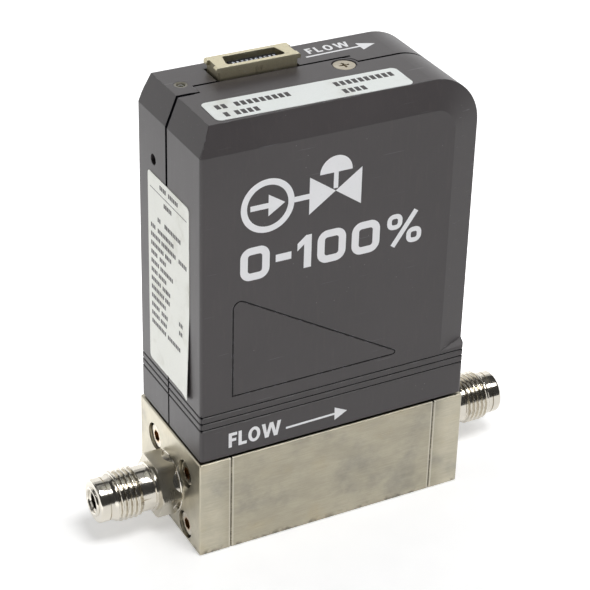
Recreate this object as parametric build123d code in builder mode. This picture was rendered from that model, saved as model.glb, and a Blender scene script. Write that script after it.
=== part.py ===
"""Digital mass flow controller with 1/4 inch metal-gasket face-seal fittings, in millimetres.

The gas flows along +X, the front is -Y and +Z is up. The origin is the centre of the base's underside.
"""
import os
from math import atan2, degrees

from build123d import *

os.makedirs("parts", exist_ok=True)

# ---------------------------------------------------------------- driving sizes
# Shared clearances
running_gap = 0.08            # round a piece that slides
seat_gap = 0.05               # round a piece that is screwed, pressed or dropped into a hole
thread_gap = 0.05             # round a shank whose thread is left plain
hole_relief = 1.0             # of a tapped hole past the end of its screw
cross_taper = 12.0            # of a cross recess in a screw's head

# Base: a centre block with a bolted block at each end
base_length = 80.0
base_width = 38.0
base_height = 29.2
end_block_length = 9.2
edge_break = 0.3
port_height = 12.7
gas_bore = 4.6

# Screws through the end blocks
end_screw_diameter = 4.0
end_screw_length = 12.0
end_screw_head = 7.0
end_screw_head_height = 4.0
end_screw_hex = 3.0
end_screw_pitch_y = 19.4
end_screw_pitch_z = 16.6
end_counterbore_diameter = 7.8
end_counterbore_depth = 4.6

# Tapped holes in the underside
foot_hole_diameter = 3.4
foot_hole_depth = 5.0
foot_hole_spacing = 50.0

# Ring seals between the blocks
seal_inner_diameter = 6.4
seal_outer_diameter = 9.6
seal_thickness = 1.4
seal_edge = 0.4

# Face-seal fittings
face_to_face = 126.0
gland_diameter = 12.2
gland_bead_diameter = 8.2
gland_bead_height = 0.5
gland_edge_round = 0.7
gland_length = 4.5
gland_groove_width = 0.35
gland_groove_depth = 0.3
gland_groove_place = 3.4
thread_diameter = 14.29
thread_lead = 1.6
thread_length = 6.1
neck_diameter = 12.7
hex_across = 15.88
hex_length = 5.4
hex_chamfer = 0.5
collar_diameter = 13.6
collar_length = 0.9
weld_flange_diameter = 17.2
weld_flange_length = 0.5
spigot_diameter = 9.5
spigot_length = 2.2

# Flow path in the centre block
bypass_bore = 11.0
bypass_depth = 26.0
filter_thickness = 1.5
element_length = 10.0
element_waist = 9.4
element_land = 2.0
element_channel = 1.9
element_channel_pitch = 3.1
cross_passage = 3.2
outlet_passage = 2.6
outlet_passage_offset = 5.0

# Thermal sensor
sensor_x = -16.0
sensor_leg_spacing = 14.0
sensor_tube_diameter = 1.0
sensor_tube_bore = 0.6
sensor_tube_top = 51.0
sensor_bend_radius = 3.0
sensor_port = 1.4
sensor_base_length = 22.0
sensor_base_width = 22.0
sensor_base_height = 4.0
sensor_base_round = 1.2
sensor_seal_outer = 4.0
sensor_seal_inner = 2.2
sensor_seal_thickness = 0.8
sensor_case_length = 20.0
sensor_case_width = 11.0
sensor_case_height = 24.0
sensor_case_wall = 1.0
winding_length = 3.2
winding_diameter = 2.4
winding_gap = 0.9
terminal_diameter = 0.6
terminal_pitch = 2.54
terminal_count = 4
terminal_height = 54.0
terminal_stub = 0.9

# Small cap screws for the sensor, the valve and the bracket
small_screw_diameter = 2.5
small_screw_length = 8.0
small_screw_head = 4.5
small_screw_head_height = 2.5
small_screw_hex = 2.0
sensor_screw_spacing = 16.6
bracket_screw_spacing = 6.6

# Control valve
valve_x = 16.0
valve_cavity_diameter = 16.0
valve_cavity_depth = 3.0
seat_diameter = 8.0
seat_height = 2.5
seat_lip_diameter = 5.0
seat_lip_height = 0.6
diaphragm_diameter = 18.8
diaphragm_thickness = 0.4
valve_flange_size = 23.0
valve_flange_height = 7.0
valve_flange_round = 1.5
valve_flange_bore = 10.0
valve_screw_diameter = 3.0
valve_screw_length = 12.0
valve_screw_head = 5.5
valve_screw_head_height = 3.0
valve_screw_hex = 2.5
valve_screw_spacing = 17.0
plunger_foot_diameter = 6.0
plunger_foot_height = 1.6
actuator_diameter = 15.0
actuator_bore = 12.0
actuator_height = 47.0
actuator_socket_depth = 1.5
stack_size = 7.0
stack_edge = 0.6
stack_length = 38.0
cap_flange_height = 3.0
cap_spigot_length = 4.0
cap_hex_across = 12.0
cap_hex_height = 4.0
preload_diameter = 6.0
preload_proud = 3.0
preload_slot_width = 1.0
preload_slot_depth = 1.4
lead_diameter = 0.9
lead_spacing = 1.8
lead_hole = 4.2
lead_bend_radius = 2.5

# Circuit board and what it carries
board_y = 9.1
board_thickness = 1.6
board_left = -34.0
board_right = 29.0
board_bottom = 40.5
board_top = 117.2
board_corner = 2.0
chip_thickness = 1.4
processor_size = 12.0
processor_place = (16.0, 84.0)
amplifier_length = 5.0
amplifier_width = 4.0
amplifier_pitch = 9.0
amplifier_place = (-16.0, 66.0)
coil_diameter = 11.0
coil_wall_gap = 1.8
coil_place = (-16.0, 88.0)
capacitor_diameter = 6.3
capacitor_wall_gap = 1.4
capacitor_pitch = 9.0
capacitor_place = (18.0, 62.0)
socket_length = 7.0
socket_height = 4.6
socket_depth = 3.4
socket_x = 4.0
socket_level = 84.0

# Bracket that holds the board
bracket_thickness = 1.0
bracket_foot_width = 7.4
bracket_foot_front = -6.0
bracket_x = -0.25
bracket_wing_length = 30.0
bracket_wing_bottom = 39.5
bracket_wing_top = 50.0
bracket_spine_top = 104.0
board_screw_diameter = 2.0
board_screw_head = 3.8
board_screw_head_height = 1.3
board_screw_spacing = 20.0
board_screw_length = 5.0
board_screw_hex = 1.5
board_spacer_diameter = 4.0
board_spacer_height = 1.0

# Zero-adjust switch behind the small hole in the inlet end
switch_level = 105.5
switch_size = 6.0
switch_depth = 3.2
switch_leg_length = 2.2
switch_leg_thickness = 0.3
switch_leg_width = 0.9
switch_leg_pitch = 4.2
button_diameter = 2.4
button_recess = 1.4
button_length = 2.2
button_travel = 0.25
switch_hole_diameter = 3.0

# Status lamp
lamp_x = -32.8
lamp_y = 7.2
lamp_diameter = 3.0
lamp_rim_diameter = 3.5
lamp_rim_height = 0.7
lamp_top_below = 0.1
lamp_holder_width = 4.4
lamp_holder_top = 119.6
lamp_holder_height = 6.0
lamp_hole_diameter = 3.6

# Signal connector
connector_x = -12.1
connector_length = 22.2
connector_width = 7.4
connector_proud = 3.3
connector_opening_length = 16.8
connector_opening_slope = 1.1
connector_opening_width = 5.0
connector_opening_round = 0.9
connector_ear_reach = 0.7
connector_ear_width = 1.8
connector_ear_height = 1.3
connector_ear_round = 0.6
insert_saddle = 1.8
insert_floor = 4.4
tongue_length = 13.4
tongue_below = 0.8
contact_count = 10
contact_pitch = 1.27
contact_width = 0.5
contact_thickness = 0.2
contact_tail = 3.0

# Cover frame screwed to the base, which the two housing halves hook onto
frame_gap = 0.8
frame_height = 5.0
frame_end_rim = 4.5
flange_clearance = 0.55
frame_side_clearance = 0.15
hook_level = 2.2
hook_height = 1.0
hook_reach = 0.8
hook_clearance = 0.12
frame_screw_diameter = 2.0
frame_screw_head = 3.8
frame_screw_length = 8.0
frame_screw_cross = 1.9
frame_screw_cross_width = 0.6
frame_screw_cross_depth = 0.6
frame_screw_spacing_x = 46.0

# Housing
housing_length = 79.2
housing_width = 37.4
housing_top = 125.5
housing_wall = 2.0
housing_edge_round = 1.0
corner_radius = 14.0
end_chamfer_run = 3.05
bevel_drop = 7.7
bevel_depth = 2.0
bevel_foot = 44.9
bevel_runout = 1.6
rib_level = 39.65
rib_pitch = 2.03
rib_count = 3
rib_depth = 0.45
rib_half_width = 0.35
outline_width = 0.4
outline_depth = 0.3
outline_left = -30.8
outline_right = 20.1
outline_bottom = 48.0
outline_top = 77.9
outline_round = 0.9
outline_top_round = 2.2

# Seam between the housing halves
seam_y = 1.2
seam_gap = 0.4
seam_link_gap = 0.06
seam_step_y = 5.1
seam_step_x = -30.5
lap_width = 1.3
lap_thickness = 0.9
lap_clearance = 0.1
connector_hole_clearance = 0.5

# Cover screw and its lug
cover_screw_x = 9.9
cover_screw_y = 1.0
cover_screw_diameter = 3.0
cover_screw_head = 5.9
cover_screw_head_height = 1.6
cover_screw_length = 7.2
cover_screw_below = 0.15
cover_screw_recess = 0.35
cover_screw_hole = 6.6
cover_screw_cross = 2.9
cover_screw_cross_width = 0.7
cover_screw_cross_depth = 0.9
lug_thickness = 3.6
lug_width = 9.0
lug_root = 4.0
lug_reach = 4.2
housing_rib_thickness = 1.2
housing_rib_height = 1.4
housing_rib_spacing = 56.0
housing_rib_bottom = 48.0
housing_rib_length = 58.0
insert_outer_diameter = 4.2

# Labels
label_thickness = 0.12
top_label_length = 54.0
top_label_width = 10.6
top_label_x = -6.6
top_label_y = -10.8
top_label_turn = -1.1
top_label_round = 1.6
side_label_width = 24.6
side_label_height = 56.2
side_label_y = 0.2
side_label_z = 73.4
side_label_round = 1.2

# ---------------------------------------------------------------- derived places
half_length = base_length / 2
centre_length = base_length - 2 * end_block_length
centre_half = centre_length / 2
valve_floor = base_height - valve_cavity_depth
outlet_x = valve_x + outlet_passage_offset
board_front = board_y - board_thickness / 2
board_rear = board_y + board_thickness / 2
sensor_base_top = base_height + sensor_base_height
valve_flange_top = base_height + valve_flange_height
actuator_bottom = valve_flange_top - actuator_socket_depth
actuator_top = actuator_bottom + actuator_height
bracket_front = board_rear + board_spacer_height
bracket_rear = bracket_front + bracket_thickness
connector_top = housing_top + connector_proud
insert_bottom = board_top - insert_saddle
insert_top = board_top + insert_floor
tongue_top = connector_top - tongue_below
contact_bottom = board_top - contact_tail
housing_bottom = base_height + frame_gap
inner_half_length = housing_length / 2 - housing_wall
inner_half_width = housing_width / 2 - housing_wall
inner_top = housing_top - housing_wall
space_behind_board = inner_half_width - board_rear
coil_height = space_behind_board - coil_wall_gap
capacitor_height = space_behind_board - capacitor_wall_gap
frame_half_length = inner_half_length - frame_side_clearance
frame_half_width = inner_half_width - frame_side_clearance
frame_opening_length = 2 * (frame_half_length - frame_end_rim)
frame_opening_width = valve_flange_size + 2 * flange_clearance
frame_screw_spacing_y = frame_half_width + frame_opening_width / 2
cover_screw_top = housing_top - cover_screw_below
cover_screw_seat = cover_screw_top - cover_screw_head_height
lug_top = inner_top - lap_clearance
lug_bottom = lug_top - lug_thickness
button_tip = -housing_length / 2 + button_recess
low = (Align.CENTER, Align.CENTER, Align.MIN)
high = (Align.CENTER, Align.CENTER, Align.MAX)


def cap_screw(diameter, length, head_diameter, head_height, hex_size):
    """Hexagon-socket cap screw: its head stands on z = 0 and its shank points down."""
    with BuildPart() as screw:
        Cylinder(head_diameter / 2, head_height, align=low)
        chamfer(screw.edges().group_by(Axis.Z)[-1], edge_break)
        Cylinder(diameter / 2, length, align=high)
        with BuildSketch(Plane.XY.offset(head_height)):
            RegularPolygon(hex_size / 2, 6, major_radius=False)
        extrude(amount=-head_height / 2, mode=Mode.SUBTRACT)
    return screw.part


def flat_screw(diameter, length, head_diameter, head_height, cross_size, cross_width, cross_depth):
    """Countersunk screw with a cross recess: its head is level with z = 0 and its shank points down."""
    with BuildPart() as screw:
        with Locations((0, 0, -head_height)):
            Cone(diameter / 2, head_diameter / 2, head_height, align=low)
            Cylinder(diameter / 2, length - head_height, align=high)
        with BuildSketch():
            Rectangle(cross_size, cross_width)
            Rectangle(cross_width, cross_size)
        extrude(amount=-cross_depth, taper=cross_taper, mode=Mode.SUBTRACT)
    return screw.part


# ---------------------------------------------------------------- base blocks
inlet_face = Plane(origin=(-half_length, 0, port_height), x_dir=(0, 1, 0), z_dir=(-1, 0, 0))
inlet_joint = Plane(origin=(-centre_half, 0, port_height), x_dir=(0, 1, 0), z_dir=(-1, 0, 0))
outlet_joint = Plane(origin=(centre_half, 0, port_height), x_dir=(0, -1, 0), z_dir=(1, 0, 0))
top_of_base = Plane.XY.offset(base_height)

with BuildPart() as centre_block:
    Box(centre_length, base_width, base_height, align=low)
    chamfer(centre_block.edges(), edge_break)
    with Locations(inlet_joint):
        Hole(bypass_bore / 2, bypass_depth)
        Hole(cross_passage / 2, centre_half + valve_x)
        with GridLocations(end_screw_pitch_y, end_screw_pitch_z, 2, 2):
            Hole(end_screw_diameter / 2 + thread_gap, end_screw_length)
    with Locations(outlet_joint):
        Hole(gas_bore / 2, centre_half - outlet_x + outlet_passage / 2)
        with GridLocations(end_screw_pitch_y, end_screw_pitch_z, 2, 2):
            Hole(end_screw_diameter / 2 + thread_gap, end_screw_length)
    with Locations(top_of_base):
        with Locations((sensor_x, 0)):
            with GridLocations(sensor_leg_spacing, 0, 2, 1):
                CounterBoreHole(sensor_port / 2, sensor_seal_outer / 2 + seat_gap, sensor_seal_thickness,
                                base_height - port_height)
            with GridLocations(0, sensor_screw_spacing, 1, 2):
                Hole(small_screw_diameter / 2 + thread_gap,
                     small_screw_length - sensor_base_height + hole_relief)
        with Locations((valve_x, 0)):
            CounterBoreHole(cross_passage / 2, valve_cavity_diameter / 2, valve_cavity_depth,
                            base_height - port_height)
            Hole(diaphragm_diameter / 2 + seat_gap, diaphragm_thickness)
            with GridLocations(valve_screw_spacing, valve_screw_spacing, 2, 2):
                Hole(valve_screw_diameter / 2 + thread_gap,
                     valve_screw_length - valve_flange_height + hole_relief)
        with Locations((outlet_x, 0)):
            Hole(outlet_passage / 2, base_height - port_height)
        with Locations((bracket_x, 0)):
            with GridLocations(0, bracket_screw_spacing, 1, 2):
                Hole(small_screw_diameter / 2 + thread_gap, small_screw_length)
        with GridLocations(frame_screw_spacing_x, frame_screw_spacing_y, 2, 2):
            Hole(frame_screw_diameter / 2 + thread_gap, frame_screw_length - frame_height + hole_relief)
    with Locations(Plane.XY.rotated((180, 0, 0))):
        with GridLocations(foot_hole_spacing, 0, 2, 1):
            Hole(foot_hole_diameter / 2, foot_hole_depth)

end_block_centre = half_length - end_block_length / 2
with BuildPart() as inlet_block:
    with Locations((-end_block_centre, 0, 0)):
        Box(end_block_length, base_width, base_height, align=low)
    chamfer(inlet_block.edges(), edge_break)
    with Locations(inlet_face):
        CounterBoreHole(gas_bore / 2, spigot_diameter / 2 + seat_gap, spigot_length, end_block_length)
        with GridLocations(end_screw_pitch_y, end_screw_pitch_z, 2, 2):
            CounterBoreHole(end_screw_diameter / 2 + seat_gap, end_counterbore_diameter / 2,
                            end_counterbore_depth, end_block_length)
    with BuildSketch(inlet_joint):
        Circle(seal_outer_diameter / 2 + seat_gap)
    extrude(amount=seal_thickness, mode=Mode.SUBTRACT)

with BuildPart() as outlet_block:
    mirror(inlet_block.part, about=Plane.YZ)

with BuildPart() as inlet_seal:
    with BuildSketch(inlet_joint):
        Circle(seal_outer_diameter / 2)
        Circle(seal_inner_diameter / 2, mode=Mode.SUBTRACT)
    extrude(amount=seal_thickness)
    chamfer(inlet_seal.edges().filter_by(GeomType.CIRCLE).sort_by(SortBy.RADIUS)[-2:], seal_edge)

with BuildPart() as outlet_seal:
    mirror(inlet_seal.part, about=Plane.YZ)

end_screw = cap_screw(end_screw_diameter, end_screw_length, end_screw_head, end_screw_head_height,
                      end_screw_hex)
with BuildPart() as inlet_block_screws:
    with Locations(inlet_face.offset(-end_counterbore_depth)):
        with GridLocations(end_screw_pitch_y, end_screw_pitch_z, 2, 2):
            add(end_screw)

with BuildPart() as outlet_block_screws:
    mirror(inlet_block_screws.part, about=Plane.YZ)

# ---------------------------------------------------------------- face-seal fittings
tip = face_to_face / 2
bead_radius = gland_bead_diameter / 2
gland_radius = gland_diameter / 2
lead_start = gland_length
thread_start = lead_start + thread_lead
thread_end = thread_start + thread_length
hex_end = tip - half_length - weld_flange_length
hex_start = hex_end - hex_length
collar_start = hex_start - collar_length
groove_start = gland_groove_place - gland_groove_width

hex_radius = hex_across / (3 ** 0.5)
fitting_axis = Axis((-tip, 0, port_height), (1, 0, 0))
fitting_profile = Plane(origin=(-tip, 0, port_height), x_dir=(1, 0, 0), z_dir=(0, -1, 0))

with BuildPart() as inlet_fitting:
    # The hexagon, with flats above and below and its corners turned down at both ends
    with BuildSketch(Plane(origin=(hex_start - tip, 0, port_height), x_dir=(0, 1, 0), z_dir=(1, 0, 0))):
        RegularPolygon(hex_across / 2, 6, major_radius=False)
    extrude(amount=hex_length)
    with BuildSketch(fitting_profile):
        Polygon(
            (hex_start, 0),
            (hex_end, 0),
            (hex_end, hex_radius - hex_chamfer),
            (hex_end - hex_chamfer / 2, hex_radius),
            (hex_start + hex_chamfer / 2, hex_radius),
            (hex_start, hex_radius - hex_chamfer),
            align=None,
        )
    revolve(axis=fitting_axis, mode=Mode.INTERSECT)
    # The turned body: x runs from the gland face into the block, y is the radius
    with BuildSketch(fitting_profile):
        with BuildLine():
            face_centre = Line((gland_bead_height, 0),
                               (gland_bead_height, bead_radius - 2 * gland_bead_height))
            bead = ThreePointArc(face_centre @ 1, (0, bead_radius - gland_bead_height),
                                 (gland_bead_height, bead_radius))
            gland_face = Line(bead @ 1, (gland_bead_height, gland_radius - gland_edge_round))
            edge = RadiusArc(gland_face @ 1, (gland_bead_height + gland_edge_round, gland_radius),
                             gland_edge_round)
            Polyline(
                edge @ 1,
                (groove_start, gland_radius),
                (groove_start, gland_radius - gland_groove_depth),
                (gland_groove_place, gland_radius - gland_groove_depth),
                (gland_groove_place, gland_radius),
                (lead_start, gland_radius),
                (thread_start, thread_diameter / 2),
                (thread_end, thread_diameter / 2),
                (thread_end + (thread_diameter - neck_diameter) / 2, neck_diameter / 2),
                (collar_start, neck_diameter / 2),
                (collar_start, collar_diameter / 2),
                (hex_end, collar_diameter / 2),
                (hex_end, weld_flange_diameter / 2),
                (tip - half_length, weld_flange_diameter / 2),
                (tip - half_length, spigot_diameter / 2),
                (tip - half_length + spigot_length, spigot_diameter / 2),
                (tip - half_length + spigot_length, 0),
                face_centre @ 0,
            )
        make_face()
    revolve(axis=fitting_axis)
    with Locations(inlet_face.offset(tip - half_length)):
        Hole(gas_bore / 2)

with BuildPart() as outlet_fitting:
    mirror(inlet_fitting.part, about=Plane.YZ)

# ---------------------------------------------------------------- flow path
with BuildPart() as inlet_filter:
    with BuildSketch(inlet_joint):
        Circle(bypass_bore / 2 - seat_gap)
    extrude(amount=-filter_thickness)

with BuildPart() as laminar_flow_element:
    with Locations((sensor_x, 0, port_height)):
        Cylinder(bypass_bore / 2 - seat_gap, element_length, rotation=(0, 90, 0))
    with BuildSketch(Plane(origin=(sensor_x, 0, port_height), z_dir=(1, 0, 0))):
        Circle(bypass_bore / 2)
        Circle(element_waist / 2, mode=Mode.SUBTRACT)
    extrude(amount=element_length / 2 - element_land, both=True, mode=Mode.SUBTRACT)
    with Locations(Plane(origin=(sensor_x, 0, port_height), z_dir=(1, 0, 0))):
        Hole(element_channel / 2)
        with PolarLocations(element_channel_pitch, 6):
            Hole(element_channel / 2)

# ---------------------------------------------------------------- thermal sensor
with BuildPart() as sensor_base:
    with Locations((sensor_x, 0, base_height)):
        Box(sensor_base_length, sensor_base_width, sensor_base_height, align=low)
    fillet(sensor_base.edges().filter_by(Axis.Z), sensor_base_round)
    with Locations(Plane((sensor_x, 0, sensor_base_top))):
        with GridLocations(sensor_leg_spacing, 0, 2, 1):
            Hole(sensor_tube_diameter / 2 + seat_gap)
        with GridLocations(0, sensor_screw_spacing, 1, 2):
            Hole(small_screw_diameter / 2 + seat_gap)

with BuildPart() as sensor_seals:
    with Locations((sensor_x, 0, base_height)):
        with GridLocations(sensor_leg_spacing, 0, 2, 1):
            Cylinder(sensor_seal_outer / 2, sensor_seal_thickness, align=high)
            Cylinder(sensor_seal_inner / 2, sensor_seal_thickness, align=high, mode=Mode.SUBTRACT)

leg = sensor_leg_spacing / 2
with BuildPart() as sensor_tube:
    with BuildLine(Plane((sensor_x, 0, 0), z_dir=(0, -1, 0), x_dir=(1, 0, 0))) as tube_route:
        FilletPolyline((-leg, base_height), (-leg, sensor_tube_top), (leg, sensor_tube_top),
                       (leg, base_height), radius=sensor_bend_radius)
    with BuildSketch(Plane((sensor_x - leg, 0, base_height))):
        Circle(sensor_tube_diameter / 2)
        Circle(sensor_tube_bore / 2, mode=Mode.SUBTRACT)
    sweep(path=tube_route.wire())

winding_pitch = winding_length + winding_gap
with BuildPart() as sensor_windings:
    with Locations(Plane((sensor_x, 0, sensor_tube_top), z_dir=(1, 0, 0))):
        with Locations((0, 0, -winding_pitch / 2), (0, 0, winding_pitch / 2)):
            Cylinder(winding_diameter / 2, winding_length)
            Cylinder(sensor_tube_diameter / 2 + seat_gap, winding_length, mode=Mode.SUBTRACT)

case_front = -sensor_case_width / 2
with BuildPart() as sensor_case:
    with Locations((sensor_x, 0, sensor_base_top)):
        Box(sensor_case_length, sensor_case_width, sensor_case_height, align=low)
    fillet(sensor_case.edges().filter_by(Axis.Z), sensor_case_wall)
    with Locations((sensor_x, case_front + sensor_case_width - sensor_case_wall, sensor_base_top)):
        Box(sensor_case_length - 2 * sensor_case_wall, sensor_case_width,
            sensor_case_height - sensor_case_wall,
            align=(Align.CENTER, Align.MAX, Align.MIN), mode=Mode.SUBTRACT)
    with Locations(Plane((sensor_x, board_front, terminal_height), x_dir=(1, 0, 0), z_dir=(0, 1, 0))):
        with GridLocations(terminal_pitch, 0, terminal_count, 1):
            Hole(terminal_diameter / 2 + seat_gap, 2 * sensor_case_wall + board_front + case_front)

with BuildPart() as sensor_cover:
    with Locations((sensor_x, case_front, sensor_base_top + seat_gap)):
        Box(sensor_case_length - 2 * sensor_case_wall - 2 * seat_gap, sensor_case_wall,
            sensor_case_height - sensor_case_wall - 2 * seat_gap, align=(Align.CENTER, Align.MIN, Align.MIN))

terminal_back = board_rear + terminal_stub
with BuildPart() as sensor_terminals:
    with Locations(Plane((sensor_x, terminal_back, terminal_height), x_dir=(1, 0, 0), z_dir=(0, 1, 0))):
        with GridLocations(terminal_pitch, 0, terminal_count, 1):
            Cylinder(terminal_diameter / 2, terminal_back + case_front + sensor_case_wall, align=high)

small_screw = cap_screw(small_screw_diameter, small_screw_length, small_screw_head, small_screw_head_height,
                        small_screw_hex)
with BuildPart() as sensor_screws:
    with Locations((sensor_x, 0, sensor_base_top)):
        with GridLocations(0, sensor_screw_spacing, 1, 2):
            add(small_screw)

# ---------------------------------------------------------------- control valve
with BuildPart() as valve_seat:
    with Locations((valve_x, 0, valve_floor)):
        Cylinder(seat_diameter / 2, seat_height - seat_lip_height, align=low)
        Cylinder(seat_lip_diameter / 2, seat_height, align=low)
    with Locations(Plane((valve_x, 0, valve_floor))):
        Hole(cross_passage / 2)

with BuildPart() as valve_diaphragm:
    with Locations((valve_x, 0, base_height)):
        Cylinder(diaphragm_diameter / 2, diaphragm_thickness, align=high)

with BuildPart() as valve_flange:
    with Locations((valve_x, 0, base_height)):
        Box(valve_flange_size, valve_flange_size, valve_flange_height, align=low)
    fillet(valve_flange.edges().filter_by(Axis.Z), valve_flange_round)
    chamfer(valve_flange.edges().group_by(Axis.Z)[-1], edge_break)
    with Locations(Plane((valve_x, 0, valve_flange_top))):
        CounterBoreHole(valve_flange_bore / 2, actuator_diameter / 2 + seat_gap, actuator_socket_depth)
        with GridLocations(valve_screw_spacing, valve_screw_spacing, 2, 2):
            Hole(valve_screw_diameter / 2 + seat_gap)

valve_screw = cap_screw(valve_screw_diameter, valve_screw_length, valve_screw_head, valve_screw_head_height,
                        valve_screw_hex)
with BuildPart() as valve_screws:
    with Locations((valve_x, 0, valve_flange_top)):
        with GridLocations(valve_screw_spacing, valve_screw_spacing, 2, 2):
            add(valve_screw)

stack_bottom = actuator_bottom + seat_gap
lead_level = stack_bottom + stack_length - lead_hole
with BuildPart() as valve_plunger:
    with Locations((valve_x, 0, base_height)):
        Cylinder(plunger_foot_diameter / 2, stack_bottom - base_height, align=low)
    with Locations((valve_x, 0, base_height + plunger_foot_height)):
        Cylinder(valve_flange_bore / 2 - running_gap,
                 stack_bottom - base_height - plunger_foot_height, align=low)
    chamfer(valve_plunger.edges().group_by(Axis.Z)[0], edge_break)

with BuildPart() as actuator_tube:
    with Locations((valve_x, 0, actuator_bottom)):
        Cylinder(actuator_diameter / 2, actuator_height, align=low)
        Cylinder(actuator_bore / 2, actuator_height, align=low, mode=Mode.SUBTRACT)
    with BuildSketch(Plane((valve_x, 0, lead_level), x_dir=(0, 1, 0), z_dir=(-1, 0, 0))):
        SlotOverall(lead_spacing + lead_hole, lead_hole)
    extrude(amount=actuator_diameter, mode=Mode.SUBTRACT)

with BuildPart() as piezo_stack:
    with Locations((valve_x, 0, stack_bottom)):
        Box(stack_size, stack_size, stack_length, align=low)
    chamfer(piezo_stack.edges().filter_by(Axis.Z), stack_edge)

with BuildPart() as actuator_cap:
    with Locations((valve_x, 0, actuator_top)):
        Cylinder(actuator_bore / 2 - seat_gap, cap_spigot_length, align=high)
        Cylinder(actuator_diameter / 2, cap_flange_height, align=low)
    with BuildSketch(Plane((valve_x, 0, actuator_top + cap_flange_height))):
        RegularPolygon(cap_hex_across / 2, 6, major_radius=False)
    extrude(amount=cap_hex_height)
    with Locations(Plane((valve_x, 0, actuator_top))):
        Hole(preload_diameter / 2 + thread_gap)

stack_top = stack_bottom + stack_length
preload_top = actuator_top + cap_flange_height + cap_hex_height + preload_proud
with BuildPart() as preload_screw:
    with Locations((valve_x, 0, stack_top)):
        Cylinder(preload_diameter / 2, preload_top - stack_top, align=low)
    chamfer(preload_screw.edges().group_by(Axis.Z)[-1], edge_break)
    with Locations((valve_x, 0, preload_top)):
        Box(preload_diameter, preload_slot_width, preload_slot_depth, align=high, mode=Mode.SUBTRACT)

# ---------------------------------------------------------------- circuit board
board_face = Plane((0, board_front, 0), x_dir=(1, 0, 0), z_dir=(0, -1, 0))
board_back = Plane((0, board_rear, 0), x_dir=(-1, 0, 0), z_dir=(0, 1, 0))
wing_middle = (bracket_wing_bottom + bracket_wing_top) / 2
board_screw_places = [
    (bracket_x - board_screw_spacing / 2, wing_middle),
    (bracket_x + board_screw_spacing / 2, wing_middle),
    (bracket_x, bracket_spine_top - board_spacer_diameter),
]

with BuildPart() as control_board:
    with BuildSketch(board_face):
        with Locations(((board_left + board_right) / 2, (board_bottom + board_top) / 2)):
            outline = Rectangle(board_right - board_left, board_top - board_bottom)
        fillet(outline.vertices(), board_corner)
    extrude(amount=-board_thickness)
    with Locations(board_face):
        with Locations(*board_screw_places):
            Hole(board_screw_diameter / 2 + seat_gap, board_thickness)
        with Locations((sensor_x, terminal_height)):
            with GridLocations(terminal_pitch, 0, terminal_count, 1):
                Hole(terminal_diameter / 2 + seat_gap, board_thickness)

with BuildPart() as board_spacers:
    with Locations(board_face.offset(-board_thickness)):
        with Locations(*board_screw_places):
            Cylinder(board_spacer_diameter / 2, board_spacer_height, align=high)
            Cylinder(board_screw_diameter / 2 + seat_gap, board_spacer_height, align=high, mode=Mode.SUBTRACT)

board_screw = cap_screw(board_screw_diameter, board_screw_length, board_screw_head, board_screw_head_height,
                        board_screw_hex)
with BuildPart() as board_screws:
    with Locations(board_face):
        with Locations(*board_screw_places):
            add(board_screw)

with BuildPart() as board_bracket:
    # A folded strip: the foot lies on the base, the web stands behind the board and widens into wings
    with BuildSketch(Plane((bracket_x, 0, 0), x_dir=(0, 1, 0), z_dir=(1, 0, 0))) as strip:
        with BuildLine():
            Polyline(
                (bracket_foot_front, base_height),
                (bracket_rear, base_height),
                (bracket_rear, bracket_spine_top),
                (bracket_front, bracket_spine_top),
                (bracket_front, base_height + bracket_thickness),
                (bracket_foot_front, base_height + bracket_thickness),
                close=True,
            )
        make_face()
        outer_bend = strip.vertices().sort_by_distance((bracket_rear, base_height))[0]
        fillet(outer_bend, 2 * bracket_thickness)
        inner_bend = strip.vertices().sort_by_distance((bracket_front, base_height + bracket_thickness))[0]
        fillet(inner_bend, bracket_thickness)
    extrude(amount=bracket_foot_width / 2, both=True)
    with Locations((bracket_x, bracket_front, wing_middle)):
        Box(bracket_wing_length, bracket_thickness, bracket_wing_top - bracket_wing_bottom,
            align=(Align.CENTER, Align.MIN, Align.CENTER))
    with Locations(Plane((bracket_x, 0, base_height + bracket_thickness))):
        with GridLocations(0, bracket_screw_spacing, 1, 2):
            Hole(small_screw_diameter / 2 + seat_gap, bracket_thickness)
    with Locations(board_face.offset(-bracket_front + board_front)):
        with Locations(*board_screw_places):
            Hole(board_screw_diameter / 2 + thread_gap, bracket_thickness)

with BuildPart() as bracket_screws:
    with Locations((bracket_x, 0, base_height + bracket_thickness)):
        with GridLocations(0, bracket_screw_spacing, 1, 2):
            add(small_screw)

with BuildPart() as processor_chip:
    with BuildSketch(board_back):
        with Locations(processor_place):
            Rectangle(processor_size, processor_size)
    extrude(amount=chip_thickness)
    chamfer(processor_chip.faces().sort_by(Axis.Y)[-1].edges(), edge_break)

with BuildPart() as amplifier_chips:
    with BuildSketch(board_back):
        with Locations(amplifier_place):
            with GridLocations(amplifier_pitch, amplifier_pitch, 2, 2):
                Rectangle(amplifier_length, amplifier_width)
    extrude(amount=chip_thickness)

with BuildPart() as driver_coil:
    with Locations(board_back):
        with Locations(coil_place):
            Cylinder(coil_diameter / 2, coil_height, align=low)
    chamfer(driver_coil.faces().sort_by(Axis.Y)[-1].edges(), edge_break)

with BuildPart() as capacitors:
    with Locations(board_back):
        with Locations(capacitor_place):
            with GridLocations(capacitor_pitch, 0, 2, 1):
                Cylinder(capacitor_diameter / 2, capacitor_height, align=low)

with BuildPart() as valve_socket:
    with BuildSketch(board_face):
        with Locations((socket_x, socket_level)):
            Rectangle(socket_length, socket_height)
    extrude(amount=socket_depth)

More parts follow.
